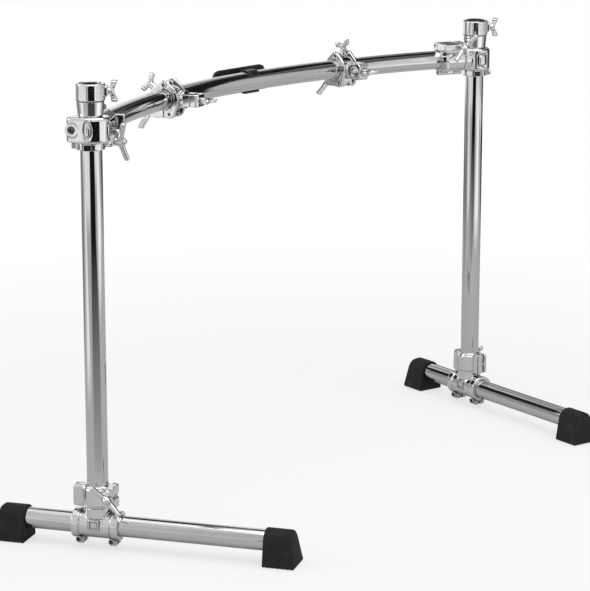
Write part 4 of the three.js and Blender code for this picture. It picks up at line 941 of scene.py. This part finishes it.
# top clamp: a cone under a ring, a round notch where they meet, and the wing screw's boss
def topClampField(x, y, z):
    look, coneTop, coneEnd = topLook, topLook["coneTop"], topLook["coneTop"] + topLook["overlap"]
    section = [(-runOut, 0), (look["coneLow"], 0), (look["coneHigh"], coneEnd), (-runOut, coneEnd)]
    ring = rodField(x, y, z, look["ringRadius"], coneTop, look["high"], look["ringEdge"])
    notch = np.hypot(np.hypot(x, y) - look["coneHigh"], z - coneTop + look["notchDrop"]) - look["groove"]
    boss = boxField(x, y, z, (look["bossInner"], -look["bossHalf"], look["bossLow"]),
                    (look["bossEnd"], look["bossHalf"], look["bossHigh"]), look["bossEdge"])
    whole = blend(turnedField(x, y, z, section, look["coneEdge"]), ring, look["ringFillet"])
    whole = blend(carve(whole, notch, cutEdge["fine"]), boss, look["bossFillet"])
    # the ring is split where its screw goes in, as deep as its outer layer
    split = boxField(x, y, z, (0, -look["slotHalf"], coneTop + look["splitRise"]), (farOut, look["slotHalf"], farOut),
                     roomEdge)
    whole = carve(whole, np.maximum(split, look["slotInner"] - np.hypot(x, y)), look["splitEdge"])
    hole = rodField(y, z - bossMiddle, x, topWingLook["shankRadius"] + screwGap, 0, farOut, roomEdge)
    return carve(carve(whole, np.hypot(x, y) - uprightBore, look["boreEdge"]), hole, cutEdge["hole"])


memoryLock = skin(memoryLockField, *lockLook["box"], lockLook["step"])
topClamp = skin(topClampField, *topLook["box"], topLook["step"])

bushingLook = {"flange": 11.0, "flangeRadius": 19.0, "depth": 28.0, "bore": 12.9, "bodyGap": 0.35, "lip": 1.1,
               "rimGap": 0.3, "sides": 64}


# bushing: a closed section turned about the axis, its flange rounded over
def topBushing():
    look, gap = bushingLook, bushingLook["rimGap"]
    lip, bore, wide, high, low = look["lip"], look["bore"], look["flangeRadius"], look["flange"], -look["depth"]
    body = tubeRadius - layout["tubeWall"] - look["bodyGap"]
    section = [(body, low), (body, gap), (wide - gap, gap), (wide, gap * 2),
               *quarterRound(wide - lip, high - lip, lip, 0, 6),
               *quarterRound(bore + lip, high - lip, lip, math.pi / 2, 6), (bore, low)]
    return turnedSurface(section, look["sides"], True)


bushing = topBushing()
print("locks and top clamps cast")

# multi-clamp, in a frame with X along the bar, Y away from the drummer
multiLook = {
    "halfLength": 19.0, "ratchetRadius": 17.0, "bossOut": 31.0, "bossInner": 18.0, "discThick": 7.0, "step": 1.0,
    "thumbRadius": 6.5, "thumbInner": 24.0, "thumbEnd": 40.0, "nutTurn": -0.9, "teeth": 24, "toothDepth": 0.8,
    "toothFrom": 11.9, "toothLong": 3.0, "toothFade": 1.5, "bossEdge": 0.9, "bossFillet": 1.6, "thumbFillet": 2.0,
    "bodyBox": ((-19, -36, -37), (19, 7, 37)), "jawBox": ((-19, -7, -37), (19, 42, 42)),
}
multiSpots = {"left": {"station": 385.0, "turn": 0.0, "screwAngle": 0.6, "screwX": -4.0},
              "right": {"station": 915.0, "turn": math.pi / 2, "screwAngle": 1.3, "screwX": 12.0}}
armLook = {"tubeBore": 11.4, "boreAt": 22.5, "halfWidth": 16.5, "halfHeight": 11.5, "round": 4.0, "neckStart": 6.5,
           "capEnd": 38.5, "capCut": 5.0, "parting": 0.15, "bossRadius": 6.5, "bossEnd": 46.0,
           "edge": 0.8, "capEdge": 1.2, "bossFillet": 2.0, "tipShort": 2.0,
           "bodyBox": ((-17, -17, 0), (17, 17, 22.5)), "capBox": ((-17, -12, 22), (17, 12, 46)), "step": 0.9}
multiSpec = {"bore": barBore, "low": -multiLook["halfLength"], "high": multiLook["halfLength"], "boltZ": 0.0,
             "lugFace": 31.0, "hingeAt": 26.8, "earHalf": 5.0, "cheeks": True}


# teeth of the two meshing faces: a wave round the axis, near the rim and within a tooth's length of the face
def ratchetTeeth(u, v, depth):
    look = multiLook
    wave = look["toothDepth"] * (0.5 + 0.5 * np.cos(np.arctan2(v, u) * look["teeth"]))
    rim = np.clip((np.hypot(u, v) - look["toothFrom"]) / look["toothFade"], 0, 1)
    return wave * rim * np.clip((look["toothLong"] - depth) / look["toothFade"], 0, 1)


# multi-clamp's body: the clamp's half with cheeks, and the round boss that carries the ratchet's teeth
def multiBodyField(x, y, z):
    look = multiLook
    body = clampBodyField(-y, z, -x, multiSpec)
    boss = rodField(x, z, -y, look["ratchetRadius"], look["bossInner"], look["bossOut"], look["bossEdge"])
    boss = boss + ratchetTeeth(x, z, y + look["bossOut"])
    return carve(blend(body, boss, look["bossFillet"]), np.hypot(y, z) - barBore, cutEdge["bore"])


# multi-clamp's jaw: the clamp's other half with the thumb screw's boss, which leans by its own angle
def multiJawField(spot):
    look, (sine, cosine) = multiLook, (math.sin(spot["screwAngle"]), math.cos(spot["screwAngle"]))

    def field(x, y, z):
        along, across, aside = y * cosine + z * sine, z * cosine - y * sine, x - spot["screwX"]
        boss = rodField(aside, across, along, look["thumbRadius"], look["thumbInner"], look["thumbEnd"],
                        look["bossEdge"])
        whole = blend(clampJawField(-y, z, -x, multiSpec), boss, look["thumbFillet"])
        hole = rodField(aside, across, along, topWingLook["shankRadius"] + screwGap, 0, look["thumbEnd"] + runOut,
                        roomEdge)
        return carve(carve(whole, hole, cutEdge["hole"]), np.hypot(y, z) - barBore, cutEdge["room"])
    return field


# the tube clamp's bore, along Y
def armBore(x, z):
    return np.hypot(x, z - armLook["boreAt"]) - armLook["tubeBore"]


# tube clamp's body: a toothed disc and the lower half round the bore
def armBodyField(x, y, z):
    look, edge = armLook, multiLook["bossEdge"]
    disc = rodField(x, y, z, multiLook["ratchetRadius"], 0, multiLook["discThick"], edge) + ratchetTeeth(x, y, z)
    saddle = boxField(x, y, z, (-look["halfWidth"], -look["halfHeight"], look["neckStart"]),
                      (look["halfWidth"], look["halfHeight"], look["boreAt"] - look["parting"]), look["edge"])
    return carve(blend(disc, saddle, multiLook["bossFillet"]), armBore(x, z), cutEdge["bore"])


# tube clamp's cap: the upper half with cut corners, and its wing screw's boss
def armCapField(x, y, z):
    look = armLook
    wide, low, high, cut = look["halfWidth"], look["boreAt"] + look["parting"], look["capEnd"], look["capCut"]
    outline = [(-wide, low), (wide, low), (wide, high - cut), (wide - cut, high), (cut - wide, high),
               (-wide, high - cut)]
    shell = plateField(x, z, y, outline, -look["halfHeight"], look["halfHeight"], look["capEdge"])
    boss = rodField(x, y, z, look["bossRadius"], high - look["round"], look["bossEnd"], look["edge"])
    end = look["bossEnd"] + runOut
    hole = rodField(x, y, z, topWingLook["shankRadius"] + screwGap, look["boreAt"], end, roomEdge)
    whole = carve(blend(shell, boss, look["bossFillet"]), armBore(x, z), cutEdge["bore"])
    return carve(whole, hole, cutEdge["hole"])


multiBody = skin(multiBodyField, *multiLook["bodyBox"], multiLook["step"])
armBody = skin(armBodyField, *armLook["bodyBox"], armLook["step"])
armCap = skin(armCapField, *armLook["capBox"], armLook["step"])
print("multi-clamps cast")

# badge holder: a plate with cut corners behind the bar, a strap over the tube and a hook under it
badgeLook = {
    "station": 655.0, "halfLong": 87.0, "halfShort": 66.0, "low": -26.0, "high": 24.5, "near": 24.5, "thick": 4.5,
    "cut": 7.0, "strapHalf": 13.0, "strapThick": 3.0, "hookLow": -14.0, "hookHigh": 31.0, "hookThick": 4.6,
    "hookTurn": 0.62, "overlap": 2.0, "edge": 1.3, "strapEdge": 0.9, "hookEdge": 0.7, "seatEdge": 0.8,
    "mouthEdge": 0.8, "seatFillet": 1.5, "plateFillet": 2.0, "box": ((-87, -24, -26), (87, 29, 25)), "step": 1.2,
}


# badge holder: the plate's outline with cut corners, given its thickness, and the clip that holds it
def badgeField(x, y, z):
    look = badgeLook
    long, short, low, high, cut = look["halfLong"], look["halfShort"], look["low"], look["high"], look["cut"]
    right = [(long - cut, low), (long, low + cut), (long, -cut), (long - cut / 2, cut / 2),
             (short + cut, high - cut / 2), (short - cut / 2, high)]
    outline = right + [(-u, v) for u, v in right[::-1]]
    face = plateField(x, z, y, outline, look["near"], look["near"] + look["thick"], look["edge"])
    edge, strapHalf, seatHalf = look["strapEdge"], look["strapHalf"], look["low"] / 2
    strap = rodField(y, z, x, barBore + look["strapThick"], -strapHalf, strapHalf, edge)
    hook = rodField(y, z, x, barBore + look["hookThick"], look["hookLow"], look["hookHigh"], edge)
    # the clip is open from straight below the tube round to above its front
    front = (-farOut * math.cos(look["hookTurn"]), farOut * math.sin(look["hookTurn"]))
    mouth = outlineField(y, z, np.array([(0, 0), front, (-farOut, -farOut), (0, -farOut)]))
    seat = boxField(x, y, z, (-strapHalf, barBore, seatHalf), (strapHalf, look["near"] + look["overlap"], -seatHalf),
                    look["seatEdge"])
    clip = carve(np.minimum(strap, common(hook, z, look["hookEdge"])), mouth, look["mouthEdge"])
    whole = blend(face, blend(clip, seat, look["seatFillet"]), look["plateFillet"])
    return carve(whole, np.hypot(y, z) - barBore, cutEdge["room"])


badgePlate = skin(badgeField, *badgeLook["box"], badgeLook["step"])
along, outward, point = barFrame(badgeLook["station"])
finishPiece("badge_plate", badgePlate, frameOf(along, outward, zDir, point))
print("badge holder made,", len(badgePlate[1]), "faces")

pinchScrew = socketScrew(pinchLook, footLook["pinchHalf"] * 2 - pinchLook["short"])
lockScrew = socketScrew(lockScrewLook, lockLook["lugEnd"] - tubeRadius)
shankLength = cornerLook["bossBack"] - cornerLook["bossFront"] - collarScrewLook["short"]
collarScrew = socketScrew(collarScrewLook, shankLength, collarScrewLook["tucked"])
topScrew = wingScrew(tubeRadius + seatGap - topLook["bossEnd"])


# the swing bolt and wing nut of a hinged clamp, from the clamp's own frame
def addFastening(prefix, socket, spec, nutTurn, nut):
    pivot = moved(clampLook["pivotBack"], -clampLook["boltAt"], spec["boltZ"])
    finishPiece(prefix + "_swing_bolt", swingBolt(spec), socket @ pivot, boltSharp)
    seat = frameOf(zDir, yDir, -xDir, (-spec["lugFace"] - seatGap, -clampLook["boltAt"], spec["boltZ"]))
    finishPiece(prefix + "_wing_nut", nut, socket @ seat @ turnAbout("Z", nutTurn))


# base tube with its feet and foot clamp; the frame's X runs to the front foot
def addBase(side, centre):
    toeIn = math.radians(layout["toeIn"][side])
    forward = np.array((math.sin(toeIn), -math.cos(toeIn), 0.0))
    base = frameOf(forward, np.cross(zDir, forward), zDir, centre + zDir * layout["baseHeight"])
    seat = rubberLook["boreDepth"] - seatGap
    front, rear = layout["frontReach"][side], layout["rearReach"]
    finishPiece(side + "_base_tube", straightTube(front + rear + seat * 2),
                base @ frameOf(yDir, zDir, xDir, (-rear - seat, 0, 0)), tubeSharp)
    finishPiece(side + "_foot_front", rubberFoot, base @ moved(front, 0, 0))
    finishPiece(side + "_foot_rear", rubberFoot, base @ moved(-rear, 0, 0) @ turnAbout("Z", math.pi))
    finishPiece(side + "_t_clamp_body", footBodies[side], base)
    socket = base @ turnAbout("Z", 0 if side == "left" else math.pi) @ frameOf(yDir, -xDir, zDir, (0, 0, footMiddle))
    finishPiece(side + "_t_clamp_jaw", footJaw, socket)
    addFastening(side + "_t_clamp", socket, footSpec, footLook["nutTurn"], wingNut)
    for end, x in (("front", footLook["pinchX"]), ("rear", -footLook["pinchX"])):
        head = frameOf(xDir, zDir, -yDir, (x, -footLook["pinchHalf"] - seatGap, footLook["pinchZ"]))
        finishPiece(f"{side}_pinch_screw_{end}", pinchScrew, base @ head, tubeSharp)


# upright with its memory lock below the corner clamp's collar and its top clamp above it
def addPost(side, centre):
    left, barHeight = side == "left", layout["barHeight"]
    low, high = layout["baseHeight"] + footLook["uprightSeat"] + seatGap, barHeight + layout["uprightRise"]
    finishPiece(side + "_upright", straightTube(high - low), moved(centre[0], 0, low), tubeSharp)
    collar = (cornerLook["collarLow"], cornerLook["collarHigh"])
    collarLow, collarHigh = collar if left else (-collar[1], -collar[0])
    turn = math.radians(layout["screwTurn"])
    lockAt = moved(centre[0], 0, barHeight + collarLow - seatGap - lockLook["height"])
    lockAt = lockAt @ turnAbout("Z", turn + (math.pi if left else 0))
    finishPiece(side + "_memory_lock", memoryLock, lockAt)
    screwAt = frameOf(yDir, zDir, xDir, (lockLook["lugEnd"] + seatGap, 0, lockLook["height"] / 2))
    finishPiece(side + "_memory_lock_screw", lockScrew, lockAt @ screwAt, tubeSharp)
    topLow = barHeight + collarHigh + topLook["under"]
    topAt = moved(centre[0], 0, topLow) @ turnAbout("Z", turn)
    finishPiece(side + "_top_clamp_body", topClamp, topAt)
    finishPiece(side + "_top_bushing", bushing, topAt @ moved(0, 0, high - topLow), tubeSharp)
    screwAt = frameOf(zDir, np.cross(xDir, zDir), xDir, (topLook["bossEnd"] + seatGap, 0, bossMiddle))
    finishPiece(side + "_top_wing_screw", topScrew, topAt @ screwAt)


# corner clamp: its X runs into the bar, and the right one is the left one turned over
def addCorner(side, centre):
    left = side == "left"
    along = barFrame(socketMiddle if left else arcRadius * halfAngle * 2 - socketMiddle)[0]
    inward, up = (along, zDir) if left else (-along, -zDir)
    corner = frameOf(inward, np.cross(up, inward), up, centre + zDir * layout["barHeight"])
    socket = corner @ frameOf(yDir, zDir, xDir, (socketMiddle, socketOffset, 0))
    finishPiece(side + "_corner_body", cornerBody, corner)
    finishPiece(side + "_corner_jaw", cornerJaw, socket)
    addFastening(side + "_corner", socket, cornerSpec, cornerLook["nutTurn"][side], wingNut)
    sunk = collarScrewLook["headLength"] - seatGap
    head = (cornerLook["bossFront"] + sunk, cornerLook["bossY"], cornerLook["bossZ"])
    finishPiece(side + "_collar_screw", collarScrew, corner @ frameOf(yDir, -zDir, -xDir, head), tubeSharp)


# multi-clamp at its station on the bar, with its thumb screw and the tube clamp on its ratchet
def addMulti(side):
    spot, look = multiSpots[side], multiLook
    along, outward, point = barFrame(spot["station"])
    group = frameOf(along, outward, zDir, point)
    finishPiece(side + "_multi_clamp_body", multiBody, group)
    finishPiece(side + "_multi_clamp_jaw", skin(multiJawField(spot), *look["jawBox"], look["step"]), group)
    socket = group @ frameOf(-yDir, zDir, -xDir)
    addFastening(side + "_multi_clamp", socket, multiSpec, look["nutTurn"], flutedNut)
    lean = turnAbout("X", spot["screwAngle"])
    seat = frameOf(zDir, xDir, yDir, (spot["screwX"], look["thumbEnd"] + seatGap, 0))
    finishPiece(side + "_multi_thumb_screw", wingScrew(barBore - look["thumbEnd"]), group @ lean @ seat)
    ratchet = group @ frameOf(xDir, zDir, -yDir) @ moved(0, 0, look["bossOut"] + seatGap)
    arms = ratchet @ turnAbout("Z", spot["turn"])
    finishPiece(side + "_tube_clamp_body", armBody, arms)
    finishPiece(side + "_tube_clamp_cap", armCap, arms)
    tip = armLook["boreAt"] + armLook["tubeBore"] - armLook["bossEnd"] + armLook["tipShort"]
    finishPiece(side + "_tube_clamp_screw", wingScrew(tip), ratchet @ moved(0, 0, armLook["bossEnd"] + seatGap))


for side, x in (("left", 0.0), ("right", layout["spacing"])):
    centre = np.array((x, 0.0, 0.0))
    addBase(side, centre)
    addPost(side, centre)
    addCorner(side, centre)
    addMulti(side)
print("all pieces placed")

# studio: pale floor, white surroundings, soft lamps, and cloths that only reflections see, in metres and degrees
studio = {
    "floorHalf": 40.0, "floorColour": (0.86, 0.86, 0.86), "worldLight": 0.62, "worldSeen": 1.0,
    # the floor's share of plain white near the rack, and from and up to where it grows to all of it
    "nearWhite": 0.66, "nearReach": 0.9, "farReach": 2.2,
    "lamps": [
        # name, place, aim, size, watts
        ("overhead", (-0.4, -0.6, 3.6), (0, 0, 0.3), 3.0, 46.0),
        ("leftBox", (-3.0, 2.9, 2.0), (0, 0, 0.4), 2.0, 20.0),
        ("frontBox", (1.4, -4.2, 2.4), (0, 0, 0.4), 2.8, 26.0),
    ],
    # the innermost cloth's distance, the step out to each next one, their middle's height, their lowest elevation
    "clothReach": 4.5, "clothApart": 0.03, "clothHeight": 0.4, "clothLowest": -5.0,
    "rugPoints": 61, "fanRows": 90, "fanHalf": 60,
    "cloths": [
        # name, azimuth from and to, elevation from and to, width of its soft edge, shade
        ("dimFront", (-54, -24), (31, 62), 4.0, 0.18),
        ("darkRight", (-26, -7), (-4, 44), 3.0, 0.02),
        ("darkMiddle", (-8, 8), (20, 45), 3.0, 0.03),
        ("darkUp", (0, 28), (24, 33), 3.0, 0.08),
        ("dimRight", (-1, 33), (-4, 25), 3.0, 0.2),
        ("darkBack", (79, 104), (19, 40), 4.0, 0.03),
        ("greySide", (98, 118), (-4, 20), 4.0, 0.45),
        ("darkRoof", (-19, 15), (40, 62), 4.0, 0.02),
        ("dimRoof", (15, 30), (36, 50), 4.0, 0.36),
        ("darkRoofRight", (14, 74), (52, 60), 4.0, 0.02),
        ("darkBehind", (42, 74), (43, 60), 4.0, 0.03),
        ("greyFront", (-60, -29), (-4, 29), 5.0, 0.78),
        ("paleFront", (-96, -59), (-4, 46), 5.0, 1.05),
        ("dimBehind", (36, 68), (26, 40), 4.0, 0.55),
        ("greyLeft", (181, 189), (2, 52), 6.0, 0.8),
        ("paleLeft", (130, 189), (2, 52), 8.0, 1.0),
        ("darkCamera", (214, 223), (-2, 56), 1.5, 0.01),
        ("darkStripOne", (190, 195), (-4, 60), 1.5, 0.02),
        ("darkStripTwo", (243, 248), (-4, 60), 1.5, 0.02),
        ("darkStripThree", (266, 270), (-4, 60), 1.5, 0.02),
        ("darkStripFour", (277, 281), (2, 60), 1.5, 0.02),
        ("darkBelt", (188, 300), (22, 27), 1.5, 0.02),
    ],
    # thin places in a cloth: azimuths, elevations, soft edge, how much of what is behind shows through
    "gaps": {"dimRight": ((22, 33), (12, 26), 3.0, 0.5)},
    "rugs": [
        # name, middle, its own direction, half length, half width, soft length, soft width, shade, height
        ("greyRug", (-0.2, -0.2), 0.0, 3.6, 3.6, 0.5, 0.5, 0.58, 0.003),
        ("farDark", (3.4, 0.7), 25.0, 1.6, 3.0, 0.8, 0.8, 0.02, 0.007),
        ("backDim", (1.5, 3.3), 90.0, 1.5, 1.7, 0.8, 0.8, 0.25, 0.008),
        ("rightWhite", (0.75, -2.9), 270.0, 1.5, 1.2, 0.6, 0.5, 1.25, 0.009),
        ("leftWhite", (-2.55, 1.4), 145.0, 1.5, 0.65, 0.5, 0.35, 1.15, 0.010),
    ],
    # fans on the floor that open from an upright's foot, one towards the camera and one away from it: each
    # darkens between start and full, and between wideAt and narrowAt it turns to its far direction and width
    "fans": {
        "darkFan": {"corner": (-0.589, 0.088), "nearDirection": 235.0, "farDirection": 228.6, "start": 0.38,
                    "full": 2.6, "end": 7.0, "rise": 0.6, "wide": 40.0, "narrow": 26.0, "wideAt": 1.4,
                    "narrowAt": 2.7, "soft": 8.0, "shade": 0.012, "height": 0.011},
        "backFan": {"corner": (0.6, 0.088), "nearDirection": 117.0, "farDirection": 117.0, "start": 0.9,
                    "full": 2.2, "end": 7.5, "rise": 1.0, "wide": 15.0, "narrow": 15.0, "wideAt": 1.4,
                    "narrowAt": 2.7, "soft": 8.0, "shade": 0.26, "height": 0.0085},
    },
}


# 1 for what the camera, a reflection or a view through glass sees, 0 for what only lights the rack
def seenDirectly(tree):
    path = addNode(tree, "LightPath", {}).outputs
    seen = reckoned(tree, "ADD", path["Is Camera Ray"], path["Is Glossy Ray"])
    return reckoned(tree, "ADD", seen, path["Is Transmission Ray"], clamp=True)


# a mesh of the studio, which isn't part of the rack
def addStaged(name, points, faces):
    mesh = bpy.data.meshes.new(name)
    mesh.from_pydata(points, [], faces)
    made = bpy.data.objects.new(name, mesh)
    scene.collection.objects.link(made)
    return made, mesh


# pale paint that keeps the rack's shadow near it and fades into the white surroundings further off
def makeFloor():
    half = studio["floorHalf"]
    corners = [(-half, -half, 0), (half, -half, 0), (half, half, 0), (-half, half, 0)]
    floor, mesh = addStaged("paleFloor", corners, [(0, 1, 2, 3)])
    material, tree, shader, place = newFinish("floorPaint")
    fillSockets(tree, shader, {
        "Base Color": (*studio["floorColour"], 1), "Roughness": 0.9, "Specular IOR Level": 0.0})
    distance = addNode(tree, "VectorMath", {0: place}, operation="LENGTH").outputs["Value"]
    share = ramped(tree, distance, studio["nearReach"], studio["farReach"], studio["nearWhite"], 1.0)
    amount = reckoned(tree, "MULTIPLY", share, seenDirectly(tree))
    white = addNode(tree, "Emission", {}).outputs[0]
    mix = addNode(tree, "MixShader", {0: amount, 1: shader.outputs[0], 2: white}).outputs[0]
    out = next(n for n in tree.nodes if n.type == "OUTPUT_MATERIAL")
    tree.links.new(mix, out.inputs[0])
    mesh.materials.append(material)


# a cloth that only reflections see: a grid of points, each with how far the cloth covers what is behind it
def makeCloth(name, points, cover, shade):
    rows, columns = cover.shape
    index = np.arange(rows * columns).reshape(rows, columns)
    quads = np.stack((index[:-1, :-1], index[:-1, 1:], index[1:, 1:], index[1:, :-1]), 2).reshape(-1, 4)
    cloth, mesh = addStaged(name, points.reshape(-1, 3).tolist(), quads.tolist())
    mesh.attributes.new("cover", "FLOAT", "POINT").data.foreach_set("value", cover.ravel().astype(np.float32))
    material, tree, shader = newFinish(name + "Weave")[:3]
    tone = min(shade, 1.0)
    # above 1, the cloth glows by as much, though it is no lamp; only reflections see it
    fillSockets(tree, shader, {
        "Base Color": (tone, tone, tone, 1), "Roughness": 0.95, "Specular IOR Level": 0.0,
        "Emission Color": (1, 1, 1, 1), "Emission Strength": max(shade - 1.0, 0.0),
        "Alpha": addNode(tree, "Attribute", {}, attribute_name="cover").outputs["Fac"]})
    mesh.materials.append(material)
    cloth.visible_camera = False
    cloth.visible_diffuse = False
    cloth.visible_shadow = False


# 1 well inside the two limits, falling evenly to 0 over the soft width
def softWindow(value, low, high, soft):
    return np.clip((value - low) / soft, 0, 1) * np.clip((high - value) / soft, 0, 1)


# hanging cloth: part of a sphere round the rack, a point to each degree of azimuth and of elevation
def hangCloth(name, azimuths, elevations, soft, shade, reach):
    (left, right), (low, high) = azimuths, elevations
    azimuth = np.arange(left - soft, right + soft + 0.1, 1.0)[:, None]
    elevation = np.arange(max(low - soft, studio["clothLowest"]), high + soft + 0.1, 1.0)[None]
    cover = softWindow(azimuth, left - soft, right + soft, soft)
    cover = cover * softWindow(elevation, low - soft, high + soft, soft)
    if name in studio["gaps"]:
        across, up, edge, through = studio["gaps"][name]
        cover = cover * (1 - through * softWindow(azimuth, *across, edge) * softWindow(elevation, *up, edge))
    turn, rise = np.radians(azimuth), np.radians(elevation)
    points = np.stack((reach * np.cos(rise) * np.cos(turn), reach * np.cos(rise) * np.sin(turn),
                       reach * np.sin(rise) + studio["clothHeight"] + turn * 0), 2)
    makeCloth(name, points, cover, shade)


# rug: flat on the floor, its cover falling off along its own direction and across it
def layRug(name, middle, direction, halfLong, halfWide, softLong, softWide, shade, height):
    turn = math.radians(direction)
    ahead, across = np.array((math.cos(turn), math.sin(turn))), np.array((-math.sin(turn), math.cos(turn)))
    u = np.linspace(-halfLong, halfLong, studio["rugPoints"])[:, None, None]
    v = np.linspace(-halfWide, halfWide, studio["rugPoints"])[None, :, None]
    flat = np.array(middle) + u * ahead + v * across
    cover = softWindow(u, -halfLong, halfLong, softLong) * softWindow(v, -halfWide, halfWide, softWide)
    makeCloth(name, np.concatenate((flat, np.full(flat.shape[:2] + (1,), height)), 2), cover[..., 0], shade)


# fan: rows of growing distance, a column to each degree; the cover is a power of the share of the way from
# start to full, times a soft window over the angle
def layFan(name, look):
    away = np.linspace(look["start"], look["end"], studio["fanRows"])[:, None]
    aside = np.linspace(-studio["fanHalf"], studio["fanHalf"], studio["fanHalf"] * 2 + 1)[None]
    span = np.clip((away - look["wideAt"]) / (look["narrowAt"] - look["wideAt"]), 0, 1)
    half = look["wide"] + (look["narrow"] - look["wide"]) * span
    cover = softWindow(aside, -half - look["soft"] / 2, half + look["soft"] / 2, look["soft"])
    cover = cover * np.clip((away - look["start"]) / (look["full"] - look["start"]), 0, 1) ** look["rise"]
    middle = look["nearDirection"] + (look["farDirection"] - look["nearDirection"]) * span
    angle = np.radians(middle + aside)
    points = np.stack((look["corner"][0] + away * np.cos(angle), look["corner"][1] + away * np.sin(angle),
                       np.full(cover.shape, look["height"])), 2)
    makeCloth(name, points, cover, look["shade"])


# a square soft lamp that faces its aim
def makeLamp(name, at, aim, size, watts):
    light = bpy.data.lights.new(name, "AREA")
    light.shape = "SQUARE"
    light.size = size
    light.energy = watts
    lamp = bpy.data.objects.new(name, light)
    scene.collection.objects.link(lamp)
    toward = (Vector(aim) - Vector(at)).to_track_quat("-Z", "Y").to_matrix().to_4x4()
    lamp.matrix_world = Matrix.Translation(at) @ toward


# white surroundings: one strength for what is seen directly, another for what lights the rack
def makeWorld():
    world = bpy.data.worlds.new("paleSurroundings")
    scene.world = world
    world.use_nodes = True
    tree = world.node_tree
    tree.nodes.clear()
    light, seen = [addNode(tree, "Background", {"Color": (1, 1, 1, 1), "Strength": studio[strength]}).outputs[0]
                   for strength in ("worldLight", "worldSeen")]
    mix = addNode(tree, "MixShader", {0: seenDirectly(tree), 1: light, 2: seen}).outputs[0]
    addNode(tree, "OutputWorld", {"Surface": mix})


makeFloor()
for order, cloth in enumerate(studio["cloths"]):
    hangCloth(*cloth, studio["clothReach"] + order * studio["clothApart"])
for rug in studio["rugs"]:
    layRug(*rug)
for name, fan in studio["fans"].items():
    layFan(name, fan)
for lamp in studio["lamps"]:
    makeLamp(*lamp)
makeWorld()
print("studio set up")

# camera, solved from the photograph's tubes: where it stands, its level direction, how far it looks down
cameraLook = {"place": (-3.61871, -2.69794, 1.4200), "ahead": (0.7911, 0.6117), "pitch": 13.17, "lens": 146.94,
              "sensor": 36.0, "farthest": 100.0}
camera = bpy.data.objects.new("rackCamera", bpy.data.cameras.new("rackCamera"))
scene.collection.objects.link(camera)
camera.data.sensor_fit = "VERTICAL"
camera.data.sensor_height = cameraLook["sensor"]
camera.data.lens = cameraLook["lens"]
camera.data.clip_end = cameraLook["farthest"]
pitch = math.radians(cameraLook["pitch"])
ahead = Vector((*[v * math.cos(pitch) for v in cameraLook["ahead"]], -math.sin(pitch)))
camera.matrix_world = Matrix.Translation(cameraLook["place"]) @ ahead.to_track_quat("-Z", "Y").to_matrix().to_4x4()
scene.camera = camera
